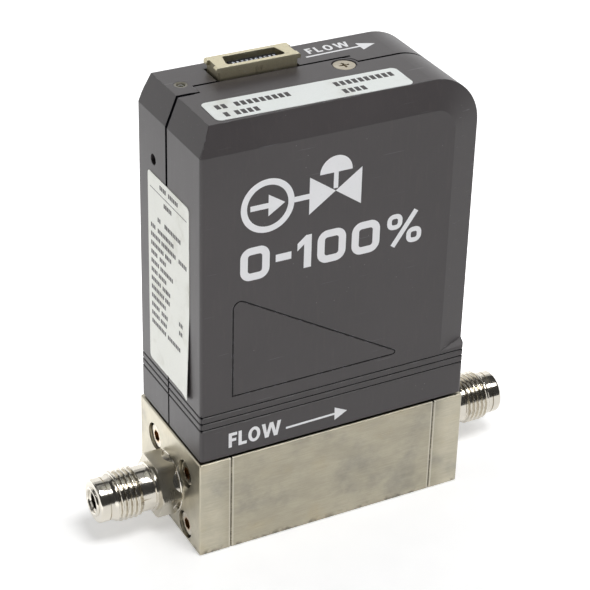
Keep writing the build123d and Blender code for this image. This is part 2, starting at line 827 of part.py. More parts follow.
lead_y = board_front - socket_depth / 2
lead_end = socket_level - socket_height / 2
with BuildPart() as valve_leads:
    for side in (-1, 1):
        offside = side * lead_spacing / 2
        start = (valve_x - stack_size / 2, offside, lead_level)
        with BuildLine() as lead_route:
            FilletPolyline(start, (socket_x + offside, offside, lead_level),
                           (socket_x + offside, lead_y, (lead_level + lead_end) / 2),
                           (socket_x + offside, lead_y, lead_end), radius=lead_bend_radius)
        with BuildSketch(Plane(start, z_dir=(-1, 0, 0))):
            Circle(lead_diameter / 2)
        sweep(path=lead_route.wire())

# ---------------------------------------------------------------- zero switch and status lamp
switch_front = board_left - switch_depth
switch_plane = Plane((switch_front, board_y, switch_level), x_dir=(0, -1, 0), z_dir=(-1, 0, 0))
with BuildPart() as zero_switch:
    with BuildSketch(switch_plane):
        RectangleRounded(switch_size, switch_size, edge_break)
    extrude(amount=-switch_depth)
    for leg_face in (board_face.offset(switch_leg_thickness), board_back.offset(switch_leg_thickness)):
        with BuildSketch(leg_face):
            with Locations(leg_face.to_local_coords(Vector(board_left, 0, switch_level))):
                with GridLocations(0, switch_leg_pitch, 1, 2):
                    Rectangle(2 * switch_leg_length, switch_leg_width)
        extrude(amount=-switch_leg_thickness)
    with Locations(switch_plane):
        Hole(button_diameter / 2 + running_gap,
             button_tip + button_length + button_travel + seat_gap - switch_front)

with BuildPart() as zero_button:
    with Locations(Plane((button_tip, board_y, switch_level), z_dir=(1, 0, 0))):
        Cylinder(button_diameter / 2, button_length, align=low)
    chamfer(zero_button.edges().group_by(Axis.X)[0], edge_break)

with BuildPart() as lamp_holder:
    with Locations((lamp_x, board_front, lamp_holder_top)):
        Box(lamp_holder_width, board_front - lamp_y + lamp_holder_width / 2, lamp_holder_height,
            align=(Align.CENTER, Align.MAX, Align.MAX))

lamp_dome = housing_top - lamp_top_below - lamp_diameter / 2
with BuildPart() as status_lamp:
    with Locations((lamp_x, lamp_y, lamp_holder_top)):
        Cylinder(lamp_rim_diameter / 2, lamp_rim_height, align=low)
        Cylinder(lamp_diameter / 2, lamp_dome - lamp_holder_top, align=low)
    with Locations((lamp_x, lamp_y, lamp_dome)):
        Sphere(lamp_diameter / 2)

# ---------------------------------------------------------------- signal connector
def connector_outline(inset):
    """The connector's keyed opening, longer in front than behind, drawn in by inset."""
    front_half = connector_opening_length / 2
    rear_half = front_half - connector_opening_slope
    half_width = connector_opening_width / 2
    with BuildSketch() as outline:
        Polygon((-front_half, -half_width), (front_half, -half_width), (rear_half, half_width),
                (-rear_half, half_width), align=None)
        fillet(vertices(), connector_opening_round)
        offset(amount=-inset, mode=Mode.REPLACE)
    return outline.sketch


opening = Plane((connector_x, board_y, connector_top))
with BuildPart() as connector_shell:
    with BuildSketch(opening):
        RectangleRounded(connector_length, connector_width, connector_ear_round)
    extrude(amount=board_top - connector_top)
    # Four ears, one at each end of both long sides
    with Locations((connector_x, board_y, connector_top)):
        with GridLocations(connector_length, connector_width - connector_ear_width, 2, 2):
            Box(2 * connector_ear_reach, connector_ear_width, connector_ear_height, align=high)
    ear_ends = connector_shell.faces().filter_by(Axis.X)
    reach = connector_length / 2 + connector_ear_reach
    outer_ends = [face for face in ear_ends if abs(abs(face.center().X - connector_x) - reach) < edge_break]
    fillet([face.edges().sort_by(Axis.Z)[-1] for face in outer_ends], connector_ear_round)
    with BuildSketch(opening):
        add(connector_outline(0))
    extrude(amount=board_top - connector_top, mode=Mode.SUBTRACT)

contact_middle = (contact_bottom + tongue_top - contact_thickness) / 2
contact_length = tongue_top - contact_thickness - contact_bottom
with BuildPart() as connector_contacts:
    with Locations((connector_x, board_y, contact_middle)):
        with GridLocations(contact_pitch, board_thickness + contact_thickness, contact_count, 2):
            Box(contact_width, contact_thickness, contact_length)

with BuildPart() as connector_insert:
    with BuildSketch(Plane((connector_x, board_y, insert_bottom))):
        add(connector_outline(seat_gap))
    extrude(amount=insert_top - insert_bottom)
    with Locations((connector_x, board_y, insert_bottom)):
        Box(connector_opening_length, board_thickness + 2 * seat_gap, insert_saddle, align=low,
            mode=Mode.SUBTRACT)
    with Locations((connector_x, board_y, contact_middle)):
        with GridLocations(contact_pitch, board_thickness + contact_thickness, contact_count, 2):
            Box(contact_width + 2 * seat_gap, contact_thickness + 2 * seat_gap, contact_length,
                mode=Mode.SUBTRACT)
    with Locations((connector_x, board_y, board_top)):
        Box(tongue_length, board_thickness, tongue_top - board_top, align=low)

# ---------------------------------------------------------------- cover frame
groove_bottom = base_height + hook_level
with BuildPart() as cover_frame:
    with BuildSketch(top_of_base):
        Rectangle(2 * frame_half_length, 2 * frame_half_width)
        Rectangle(frame_opening_length, frame_opening_width, mode=Mode.SUBTRACT)
    extrude(amount=frame_height)
    chamfer(cover_frame.edges().filter_by(Axis.Z), edge_break)
    with BuildSketch(Plane.XY.offset(groove_bottom)):
        Rectangle(2 * frame_half_length, 2 * frame_half_width)
        Rectangle(2 * (inner_half_length - hook_reach - hook_clearance),
                  2 * (inner_half_width - hook_reach - hook_clearance), mode=Mode.SUBTRACT)
    extrude(amount=hook_height + 2 * hook_clearance, mode=Mode.SUBTRACT)
    with Locations(top_of_base.offset(frame_height)):
        with GridLocations(frame_screw_spacing_x, frame_screw_spacing_y, 2, 2):
            CounterSinkHole(frame_screw_diameter / 2 + seat_gap, frame_screw_head / 2 + seat_gap,
                            counter_sink_angle=90)

frame_screw_head_height = (frame_screw_head - frame_screw_diameter) / 2
frame_screw = flat_screw(frame_screw_diameter, frame_screw_length, frame_screw_head, frame_screw_head_height,
                         frame_screw_cross, frame_screw_cross_width, frame_screw_cross_depth)
with BuildPart() as frame_screws:
    with Locations((0, 0, base_height + frame_height)):
        with GridLocations(frame_screw_spacing_x, frame_screw_spacing_y, 2, 2):
            add(frame_screw)


# ---------------------------------------------------------------- housing
def bevel_waste(inset):
    """What the shallow front bevel takes off: along the top, round the corner and down the outlet end."""
    right = housing_length / 2 - inset
    top = housing_top - inset
    foot = bevel_foot - inset
    face = inset - housing_width / 2
    front = Plane((0, face, 0), x_dir=(1, 0, 0), z_dir=(0, -1, 0))
    with BuildPart() as waste:
        with BuildLine(front) as route:
            along = Line((-housing_length, top), (right - corner_radius + inset, top))
            bend = JernArc(along @ 1, (1, 0), corner_radius - inset, -90)
            Line(bend @ 1, (right, foot))
        # Local x points up from the edge and local y points into the housing
        with BuildSketch(Plane(route.wire() @ 0, x_dir=(0, 0, 1), z_dir=(1, 0, 0))):
            with BuildLine():
                Polyline((-bevel_drop, 0), (bevel_drop, -2 * bevel_depth), (bevel_drop, bevel_drop),
                         (-bevel_drop, bevel_drop), close=True)
            make_face()
        sweep(path=route.wire())
        # At its foot the bevel runs out up a slope
        with BuildSketch(Plane.YZ):
            Polygon((face, foot), (face + 2 * bevel_depth, foot + 2 * bevel_runout),
                    (face + 2 * bevel_depth, foot), align=None)
        extrude(amount=housing_length, both=True, mode=Mode.SUBTRACT)
    return waste.part


def housing_form(inset):
    """The housing's outside drawn in by inset, standing on the open bottom."""
    right = housing_length / 2
    waste = bevel_waste(inset)
    with BuildPart() as form:
        with BuildSketch(Plane.XZ):
            with BuildLine():
                ends = Polyline((right, housing_bottom - inset), (-right, housing_bottom - inset),
                                (-right, housing_top - bevel_drop), (end_chamfer_run - right, housing_top),
                                (right - corner_radius, housing_top))
                bend = JernArc(ends @ 1, (1, 0), corner_radius, -90)
                Line(bend @ 1, ends @ 0)
            make_face()
            if inset:
                offset(amount=-inset, kind=Kind.INTERSECTION)
        extrude(amount=housing_width / 2 - inset, both=True)
        if not inset:
            corners = form.edges().filter_by(Axis.Y, reverse=True).filter_by(GeomType.LINE)
            upright = [edge for edge in corners if edge.center().Z < housing_top - edge_break
                       and edge.center().Z > housing_bottom + edge_break]
            fillet(upright, housing_edge_round)
        add(waste, mode=Mode.SUBTRACT)
        mirror(waste, about=Plane.XZ, mode=Mode.SUBTRACT)
    return form.part


def in_front_of_seam(shift):
    """Everything in front of the seam, with the seam moved back by shift and its link hardly open."""
    link_shift = shift - (seam_gap - seam_link_gap) / 2 * (1 if shift > 0 else -1)
    with BuildPart() as region:
        with BuildSketch():
            with Locations((0, seam_y + shift)):
                Rectangle(2 * housing_length, 2 * housing_width, align=(Align.CENTER, Align.MAX))
            with Locations((seam_step_x - link_shift, 0)):
                Rectangle(cover_screw_x - seam_step_x + link_shift, seam_step_y + shift, align=Align.MIN)
            with Locations((cover_screw_x, cover_screw_y)):
                Circle(seam_step_y - cover_screw_y + shift)
        extrude(amount=2 * housing_top)
    return region.part


def rib_groove(level):
    """One V groove round the housing's foot."""
    slope = degrees(atan2(rib_depth, rib_half_width))
    with BuildPart() as groove:
        with BuildSketch(Plane.XY.offset(level)):
            Rectangle(2 * housing_length, 2 * housing_width)
        extrude(amount=rib_half_width, both=True)
        with BuildSketch(Plane.XY.offset(level)):
            RectangleRounded(housing_length - 2 * rib_depth, housing_width - 2 * rib_depth,
                             housing_edge_round - rib_depth)
        extrude(amount=rib_half_width, both=True, taper=-slope, mode=Mode.SUBTRACT)
    return groove.part


def shell_details(side):
    """The hook round a shell's foot and its two stiffening ribs; side is -1 in front and 1 behind."""
    hook_bottom = groove_bottom + hook_clearance
    with BuildPart() as details:
        with BuildSketch(Plane.XY.offset(hook_bottom)):
            Rectangle(2 * inner_half_length, 2 * inner_half_width)
            Rectangle(2 * (inner_half_length - hook_reach), 2 * (inner_half_width - hook_reach),
                      mode=Mode.SUBTRACT)
        extrude(amount=hook_height)
        with Locations((0, side * (inner_half_width - housing_rib_height / 2), housing_rib_bottom)):
            with GridLocations(housing_rib_spacing, 0, 2, 1):
                Box(housing_rib_thickness, housing_rib_height, housing_rib_length, align=low)
    return details.part


outside = housing_form(0)
inside = housing_form(housing_wall)
lap_outside = housing_form(housing_wall - lap_thickness)
lap_recess = housing_form(housing_wall - lap_thickness - lap_clearance)
front_region = in_front_of_seam(-seam_gap / 2)
rear_boundary = in_front_of_seam(seam_gap / 2)
lap_root = in_front_of_seam(seam_gap / 2 + lap_thickness)
lap_edge = in_front_of_seam(-seam_gap / 2 - lap_width)
lap_recess_edge = in_front_of_seam(-seam_gap / 2 - lap_width - lap_clearance)

with BuildPart() as shell_wall:
    add(outside)
    add(inside, mode=Mode.SUBTRACT)
    for rib in range(rib_count):
        add(rib_groove(rib_level + rib * rib_pitch), mode=Mode.SUBTRACT)

with BuildPart() as lap_rebate:
    add(lap_recess)
    add(lap_recess_edge, mode=Mode.SUBTRACT)

with BuildPart() as lap_lip:
    add(lap_outside)
    add(inside, mode=Mode.SUBTRACT)
    add(lap_root, mode=Mode.INTERSECT)
    add(lap_edge, mode=Mode.SUBTRACT)

with BuildPart() as housing_front:
    add(shell_wall.part)
    add(shell_details(-1))
    add(front_region, mode=Mode.INTERSECT)
    add(lap_rebate.part, mode=Mode.SUBTRACT)
    # The moulded arrowhead outline on the front
    with BuildSketch(Plane((0, -housing_width / 2, 0), x_dir=(1, 0, 0), z_dir=(0, -1, 0))):
        with BuildLine() as arrowhead:
            Polyline((outline_left, outline_bottom), (outline_right, outline_bottom),
                     (outline_left, outline_top), close=True)
        make_face()
        fillet(vertices().sort_by(Axis.X)[-1], outline_round)
        fillet(vertices().sort_by(Axis.Y)[-1], outline_top_round)
        offset(amount=-outline_width, kind=Kind.INTERSECTION, mode=Mode.SUBTRACT)
    extrude(amount=-outline_depth, mode=Mode.SUBTRACT)
    # The countersink, with a narrow recess round the screw's head
    with Locations((cover_screw_x, cover_screw_y, housing_top)):
        Cylinder(cover_screw_hole / 2, cover_screw_recess, align=high, mode=Mode.SUBTRACT)
        Cylinder(cover_screw_diameter / 2 + seat_gap, 2 * housing_wall, align=high, mode=Mode.SUBTRACT)
    with Locations((cover_screw_x, cover_screw_y, cover_screw_seat)):
        Cone(cover_screw_diameter / 2 + seat_gap, cover_screw_head / 2 + seat_gap, cover_screw_head_height,
             align=low, mode=Mode.SUBTRACT)

lug_back = seam_step_y + lug_root
opening_front = seam_step_y - 2 * lap_width
opening_back = board_y + connector_width / 2 + connector_hole_clearance
with BuildPart() as housing_rear:
    add(shell_wall.part)
    add(shell_details(1))
    add(rear_boundary, mode=Mode.SUBTRACT)
    add(lap_lip.part)
    # The lug reaches under the front half's tongue and carries the threaded insert
    with Locations((cover_screw_x, cover_screw_y - lug_reach, lug_bottom)):
        Box(lug_width, lug_back - cover_screw_y + lug_reach, lug_thickness,
            align=(Align.CENTER, Align.MIN, Align.MIN))
    with Locations((cover_screw_x, lug_back, lug_bottom)):
        Box(lug_width, lug_root - seam_gap, inner_top + seat_gap - lug_bottom,
            align=(Align.CENTER, Align.MAX, Align.MIN))
    with Locations((cover_screw_x, cover_screw_y, lug_bottom)):
        Cylinder(insert_outer_diameter / 2 + seat_gap, lug_thickness, align=low, mode=Mode.SUBTRACT)
    # Openings for the connector, the lamp and the zero switch
    with Locations((connector_x, opening_front, housing_top)):
        Box(connector_length + 2 * connector_hole_clearance, opening_back - opening_front, 2 * housing_wall,
            align=(Align.CENTER, Align.MIN, Align.CENTER), mode=Mode.SUBTRACT)
    with Locations((lamp_x, lamp_y, housing_top)):
        Cylinder(lamp_hole_diameter / 2, 3 * housing_wall, mode=Mode.SUBTRACT)
    with Locations((-housing_length / 2, board_y, switch_level)):
        Cylinder(switch_hole_diameter / 2, 3 * housing_wall, rotation=(0, 90, 0), mode=Mode.SUBTRACT)

with BuildPart() as cover_insert:
    with Locations((cover_screw_x, cover_screw_y, lug_bottom)):
        Cylinder(insert_outer_diameter / 2, lug_thickness, align=low)
        Cylinder(cover_screw_diameter / 2 + thread_gap, lug_thickness, align=low, mode=Mode.SUBTRACT)

with BuildPart() as cover_screw:
    with Locations((cover_screw_x, cover_screw_y, cover_screw_top)):
        add(flat_screw(cover_screw_diameter, cover_screw_length, cover_screw_head, cover_screw_head_height,
                       cover_screw_cross, cover_screw_cross_width, cover_screw_cross_depth))

# ---------------------------------------------------------------- labels
with BuildPart() as top_label:
    with BuildSketch(Plane((top_label_x, top_label_y, housing_top))):
        RectangleRounded(top_label_length, top_label_width, top_label_round, rotation=top_label_turn)
    extrude(amount=label_thickness)

with BuildPart() as side_label:
    with BuildSketch(Plane((-housing_length / 2, side_label_y, side_label_z), x_dir=(0, -1, 0),
                           z_dir=(-1, 0, 0))):
        RectangleRounded(side_label_width, side_label_height, side_label_round)
    extrude(amount=label_thickness)

# ---------------------------------------------------------------- export
pieces = {
    "centre_block": centre_block,
    "inlet_block": inlet_block,
    "outlet_block": outlet_block,
    "inlet_seal": inlet_seal,
    "outlet_seal": outlet_seal,
    "inlet_block_screws": inlet_block_screws,
    "outlet_block_screws": outlet_block_screws,
    "inlet_fitting": inlet_fitting,
    "outlet_fitting": outlet_fitting,
    "inlet_filter": inlet_filter,
    "laminar_flow_element": laminar_flow_element,
    "sensor_base": sensor_base,
    "sensor_seals": sensor_seals,
    "sensor_tube": sensor_tube,
    "sensor_windings": sensor_windings,
    "sensor_case": sensor_case,
    "sensor_cover": sensor_cover,
    "sensor_terminals": sensor_terminals,
    "sensor_screws": sensor_screws,
    "valve_seat": valve_seat,
    "valve_diaphragm": valve_diaphragm,
    "valve_flange": valve_flange,
    "valve_screws": valve_screws,
    "valve_plunger": valve_plunger,
    "actuator_tube": actuator_tube,
    "piezo_stack": piezo_stack,
    "actuator_cap": actuator_cap,
    "preload_screw": preload_screw,
    "valve_leads": valve_leads,
    "valve_socket": valve_socket,
    "control_board": control_board,
    "board_bracket": board_bracket,
    "bracket_screws": bracket_screws,
    "board_spacers": board_spacers,
    "board_screws": board_screws,
    "processor_chip": processor_chip,
    "amplifier_chips": amplifier_chips,
    "driver_coil": driver_coil,
    "capacitors": capacitors,
    "zero_switch": zero_switch,
    "zero_button": zero_button,
    "lamp_holder": lamp_holder,
    "status_lamp": status_lamp,
    "connector_shell": connector_shell,
    "connector_insert": connector_insert,
    "connector_contacts": connector_contacts,
    "cover_frame": cover_frame,
    "frame_screws": frame_screws,
    "housing_front": housing_front,
    "housing_rear": housing_rear,
    "cover_insert": cover_insert,
    "cover_screw": cover_screw,
    "top_label": top_label,
    "side_label": side_label,
}
for name, piece in pieces.items():
    piece.part.label = name
    export_step(piece.part, f"parts/{name}.step")
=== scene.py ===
"""Dresses a digital mass flow controller.

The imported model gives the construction. This script gives it finishes, turned fittings with rolled
threads, film labels, print, the connector's contact tips and the lamp's rim, and stands it in a plain
studio. Sizes are in millimetres until a mesh is made; meshes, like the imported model, are in metres.
"""
import logging
import math
from dataclasses import dataclass, field
from enum import Enum
from typing import Callable, Mapping, Sequence, Union

import bmesh
import bpy
from mathutils import Matrix, Vector


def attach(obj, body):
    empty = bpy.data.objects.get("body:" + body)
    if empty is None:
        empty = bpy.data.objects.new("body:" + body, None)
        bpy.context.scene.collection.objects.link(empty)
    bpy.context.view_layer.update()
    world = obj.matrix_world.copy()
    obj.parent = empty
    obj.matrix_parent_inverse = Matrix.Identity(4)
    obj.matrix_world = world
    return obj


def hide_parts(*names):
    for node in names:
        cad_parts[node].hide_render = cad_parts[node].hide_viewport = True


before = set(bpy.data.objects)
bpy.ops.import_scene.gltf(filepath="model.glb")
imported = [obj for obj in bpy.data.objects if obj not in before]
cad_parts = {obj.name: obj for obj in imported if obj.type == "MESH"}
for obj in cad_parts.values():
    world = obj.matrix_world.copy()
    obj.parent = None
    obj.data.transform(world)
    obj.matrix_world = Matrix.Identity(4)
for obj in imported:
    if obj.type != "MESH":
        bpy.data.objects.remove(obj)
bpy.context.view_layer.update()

MM = 0.001
BODY = "controller"

Colour = tuple[float, float, float, float]
Point = tuple[float, float]
Place = tuple[float, float, float]

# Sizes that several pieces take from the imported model
FACE_TO_FACE = 126.0
PORT_HEIGHT = 12.7
HOUSING_TOP = 125.5
HOUSING_HALF_LENGTH = 39.6
HOUSING_HALF_WIDTH = 18.7
SEAM_Y = 1.2

log = logging.getLogger("controller")


def tone(red: int, green: int, blue: int) -> Colour:
    """Turns a colour as displayed, 0 to 255 a channel, into the linear one that a shader takes.

    Args:
        red: the red channel.
        green: the green channel.
        blue: the blue channel.

    Returns:
        The linear colour, opaque.
    """
    def linear(channel: int) -> float:
        """One channel, linear."""
        share = channel / 255
        return share / 12.92 if share <= 0.04045 else ((share + 0.055) / 1.055) ** 2.4

    return (linear(red), linear(green), linear(blue), 1.0)


# ---------------------------------------------------------------- shader values
class Value:
    """A number or vector that flows through a shader and takes part in Python's arithmetic."""

    def __init__(self, shader: "Shader", socket: bpy.types.NodeSocket) -> None:
        """Wraps an output socket of a shader's node."""
        self.shader = shader
        self.socket = socket

    def _math(self, operation: str, *operands: "Operand") -> "Value":
        """A Math node on these operands."""
        return self.shader.node("ShaderNodeMath", {"operation": operation}, dict(enumerate(operands)))

    def __add__(self, other: "Operand") -> "Value":
        """This plus other."""
        return self._math("ADD", self, other)

    __radd__ = __add__

    def __sub__(self, other: "Operand") -> "Value":
        """This minus other."""
        return self._math("SUBTRACT", self, other)

    def __rsub__(self, other: "Operand") -> "Value":
        """Other minus this."""
        return self._math("SUBTRACT", other, self)

    def __mul__(self, other: "Operand") -> "Value":
        """This times other."""
        return self._math("MULTIPLY", self, other)

    __rmul__ = __mul__

    def __truediv__(self, other: "Operand") -> "Value":
        """This over other."""
        return self._math("DIVIDE", self, other)

    def __pow__(self, other: "Operand") -> "Value":
        """This to the power of other."""
        return self._math("POWER", self, other)

    def __abs__(self) -> "Value":
        """This without its sign."""
        return self._math("ABSOLUTE", self)

    def lowest(self, other: "Operand") -> "Value":
        """The smaller of this and other."""
        return self._math("MINIMUM", self, other)

    def highest(self, other: "Operand") -> "Value":
        """The larger of this and other."""
        return self._math("MAXIMUM", self, other)

    def rise(self, low: float, high: float) -> "Value":
        """Goes smoothly from 0 at low to 1 at high; low may be the larger one.

        Args:
            low: where it is 0.
            high: where it is 1.

        Returns:
            The smooth step.
        """
        ends = (low, high, 0.0, 1.0) if low < high else (high, low, 1.0, 0.0)
        return self.shader.node("ShaderNodeMapRange", {"interpolation_type": "SMOOTHSTEP"},
                                dict(enumerate((self, *ends))))

    def within(self, low: float, high: float, blur: float = 0.1) -> "Value":
        """1 between low and high and 0 outside them.

        Args:
            low: the lower end.
            high: the upper end.
            blur: how far inside each end the change reaches.

        Returns:
            The mask.
        """
        return self.rise(low, low + blur) * self.rise(high, high - blur)


Operand = Union[Value, float]


class Shader:
    """The node tree of one material, round one Principled shader."""

    def __init__(self, name: str) -> None:
        """Makes the material.

        Args:
            name: the material's name.
        """
        self.material = bpy.data.materials.new(name)
        self.material.use_nodes = True
        self.tree = self.material.node_tree
        self.tree.nodes.clear()
        self.surface = self.tree.nodes.new("ShaderNodeBsdfPrincipled")
        self.output = self.tree.nodes.new("ShaderNodeOutputMaterial")
        self.tree.links.new(self.surface.outputs[0], self.output.inputs[0])

    def node(self, kind: str, settings: Mapping[str, object], inputs: Mapping[Union[int, str], object],
             output: Union[int, str] = 0) -> Value:
        """Adds a node.

        Args:
            kind: the node's type.
            settings: its own settings, set first.
            inputs: a Value to link, or a constant, for each input socket by number or name.
            output: which output to hand back.

        Returns:
            The chosen output.
        """
        node = self.tree.nodes.new(kind)
        for name, setting in settings.items():
            setattr(node, name, setting)
        for name, given in inputs.items():
            if isinstance(given, Value):
                self.tree.links.new(given.socket, node.inputs[name])
            else:
                node.inputs[name].default_value = given
        return Value(self, node.outputs[output])

    def place(self) -> Value:
        """The point on the object, in millimetres."""
        return self.stretched(self.node("ShaderNodeTexCoord", {}, {}, "Object"), (1 / MM, 1 / MM, 1 / MM))

    def facing(self) -> Value:
        """The direction that the surface faces."""
        return self.node("ShaderNodeNewGeometry", {}, {}, "Normal")

    def rounded(self, radius: float) -> Value:
        """The direction that the surface would face if its edges were rounded.

        Args:
            radius: the rounding's radius, in millimetres.

        Returns:
            The direction.
        """
        return self.node("ShaderNodeBevel", {"samples": 6}, {"Radius": radius * MM})

    def edges(self, radius: float) -> Value:
        """Where the surface turns a corner: 0 on flats, more near an edge.

        Args:
            radius: how far from the edge it reaches, in millimetres.

        Returns:
            The closeness.
        """
        return 1.0 - self.node("ShaderNodeVectorMath", {"operation": "DOT_PRODUCT"},
                               {0: self.rounded(radius), 1: self.facing()}, "Value")

    def parts(self, vector: Value) -> tuple[Value, Value, Value]:
        """The x, y and z of a vector."""
        split = self.node("ShaderNodeSeparateXYZ", {}, {0: vector})
        return tuple(Value(self, socket) for socket in split.socket.node.outputs)

    def stretched(self, vector: Value, factors: Place) -> Value:
        """A vector with each of its parts times its own factor."""
        return self.node("ShaderNodeVectorMath", {"operation": "MULTIPLY"}, {0: vector, 1: factors})

    def noise(self, vector: Value, scale: float, detail: float = 2.0, roughness: float = 0.5) -> Value:
        """Smooth noise, 0 to 1.

        Args:
            vector: where it is read.
            scale: how many blotches fit in a millimetre.
            detail: how many finer layers it has.
            roughness: how strong those layers are.

        Returns:
            The noise.
        """
        return self.node("ShaderNodeTexNoise", {},
                         {"Vector": vector, "Scale": scale, "Detail": detail, "Roughness": roughness})

    def cells(self, vector: Value, scale: float) -> Value:
        """The distance to the nearest of many scattered points.

        Args:
            vector: where it is read.
            scale: how many cells fit in a millimetre.

        Returns:
            The distance, about 0 to 1.
        """
        return self.node("ShaderNodeTexVoronoi", {}, {"Vector": vector, "Scale": scale})

    def blend(self, share: Operand, first: Union[Value, Colour], second: Union[Value, Colour]) -> Value:
        """Mixes two colours.

        Args:
            share: how much of the second colour there is, 0 to 1.
            first: the colour at 0.
            second: the colour at 1.

        Returns:
            The mixed colour.
        """
        return self.node("ShaderNodeMix", {"data_type": "RGBA"}, {0: share, 6: first, 7: second}, 2)

    def multiply(self, share: Operand, colour: Union[Value, Colour], gain: Union[Value, Colour]) -> Value:
        """Multiplies a colour by another.

        Args:
            share: how much of the product there is, 0 to 1.
            colour: the colour.
            gain: what it is multiplied by.

        Returns:
            The product.
        """
        return self.node("ShaderNodeMix", {"data_type": "RGBA", "blend_type": "MULTIPLY"},
                         {0: share, 6: colour, 7: gain}, 2)

    def dress(self, colour: Value, roughness: Value, height: Value, depth: float,
              edge_round: float = 0.0) -> None:
        """Gives the surface its colour, its shine and a fine relief, with rounded edges if asked.

        Args:
            colour: the base colour.
            roughness: the roughness.
            height: the height field, about 0 to 1.
            depth: how high 1 stands, in millimetres.
            edge_round: the radius of its edges, in millimetres.
        """
        self.feed("Base Color", colour)
        self.feed("Roughness", roughness)
        inputs = {"Strength": 1.0, "Distance": depth * MM, "Height": height}
        if edge_round:
            inputs["Normal"] = self.rounded(edge_round)
        self.feed("Normal", self.node("ShaderNodeBump", {}, inputs))

    def feed(self, name: str, given: Union[Value, float, Colour]) -> None:
        """Links a value to one of the shader's sockets, or sets a constant on it."""
        if isinstance(given, Value):
            self.tree.links.new(given.socket, self.surface.inputs[name])
        else:
            self.surface.inputs[name].default_value = given

    def cover(self, share: Value, colour: Colour) -> None:
        """Covers part of the surface with matt painted shade, which takes no shine.

        Args:
            share: where it lies, 0 to 1.
            colour: its colour.
        """
        matt = self.node("ShaderNodeBsdfDiffuse", {}, {"Color": colour})
        shiny = Value(self, self.surface.outputs[0])
        mixed = self.node("ShaderNodeMixShader", {}, {0: share, 1: shiny, 2: matt})
        self.tree.links.new(mixed.socket, self.output.inputs[0])


# ---------------------------------------------------------------- finishes
MADE: dict[str, bpy.types.Material] = {}


@dataclass(frozen=True)
class Finish:
    """How one kind of surface looks: its colour, its shine and its faint unevenness."""

    name: str
    colour: Colour
    roughness: float
    metallic: float = 0.0
    mottle: float = 0.08
    mottle_scale: float = 0.12
    grain: float = 0.004
    grain_scale: float = 5.0
    coat: float = 0.0
    specular: float = 0.5

    def material(self) -> bpy.types.Material:
        """The finish's material, made once."""
        if self.name not in MADE:
            shader = Shader(self.name)
            shader.feed("Metallic", self.metallic)
            shader.feed("Coat Weight", self.coat)
            shader.feed("Specular IOR Level", self.specular)
            self.paint(shader)
            MADE[self.name] = shader.material
        return MADE[self.name]

    def paint(self, shader: Shader) -> None:
        """Adds what varies over the surface.

        Args:
            shader: the finish's shader.
        """
        place = shader.place()
        blotches = shader.noise(place, self.mottle_scale, 4.0, 0.6)
        shader.dress(self.tinted(shader, self.colour, blotches),
                     self.roughness + (blotches - 0.5) * self.mottle,
                     shader.noise(place, self.grain_scale, 2.0), self.grain)

    def tinted(self, shader: Shader, colour: Union[Value, Colour], blotches: Value) -> Value:
        """A colour made lighter and darker by a blotchy field.

        Args:
            shader: the finish's shader.
            colour: the colour to vary.
            blotches: the field, 0 to 1, that says where.

        Returns:
            The varied colour.
        """
        low = 1.0 - 2.0 * self.mottle
        high = 1.0 + 2.0 * self.mottle
        share = blotches.rise(0.3, 0.7)
        gain = shader.blend(share, (low, low, low, 1.0), (high, high, high, 1.0))
        return shader.multiply(1.0, colour, gain)


@dataclass(frozen=True)
class MouldedPlastic(Finish):
    """Fine-grained satin moulding with rubbed edges, smears, faint scratches and dust."""

    rubbed: Colour = tone(150, 150, 156)
    smear: Colour = tone(92, 84, 80)
    dust: Colour = tone(140, 138, 134)
    edge_round: float = 0.3

    def paint(self, shader: Shader) -> None:
        """Adds the moulding's grain, smears, rubbed edges, scratches and dust."""
        place = shader.place()
        broad = shader.noise(place, self.mottle_scale, 3.0, 0.55)
        grain = shader.noise(place, self.grain_scale, 3.0, 0.7)
        streaks = shader.noise(shader.stretched(place, (1.0, 1.0, 0.12)), 0.9, 4.0, 0.65)
        scratches = shader.noise(shader.stretched(place, (0.05, 1.0, 1.7)), 1.4, 1.0).rise(0.73, 0.79)
        specks = shader.cells(place, 0.42).rise(0.075, 0.03) * shader.noise(place, 0.09).rise(0.5, 0.62)
        rubbing = shader.edges(self.edge_round).rise(0.04, 0.2)
        rubbing = rubbing * shader.noise(place, 0.5, 4.0).rise(0.46, 0.7)
        colour = self.tinted(shader, self.colour, broad * 0.6 + grain * 0.4)
        colour = shader.blend(streaks.rise(0.5, 0.75) * 0.12, colour, self.smear)
        colour = shader.blend(rubbing * 0.7, colour, self.rubbed)
        colour = shader.blend(scratches * 0.16, colour, self.rubbed)
        colour = shader.blend(specks * 0.45, colour, self.dust)
        roughness = self.roughness + (broad - 0.5) * 0.14 + (streaks - 0.5) * 0.12 - scratches * 0.05
        shader.dress(self.shaded(shader, place, colour), roughness, grain * 0.8 + streaks * 0.2,
                     self.grain, self.edge_round)

    def shaded(self, shader: Shader, place: Value, colour: Value) -> Value:
        """The colour with painted shade where this kind of moulding has seams and hollows; none on a plain
        moulding.
        """
        return colour


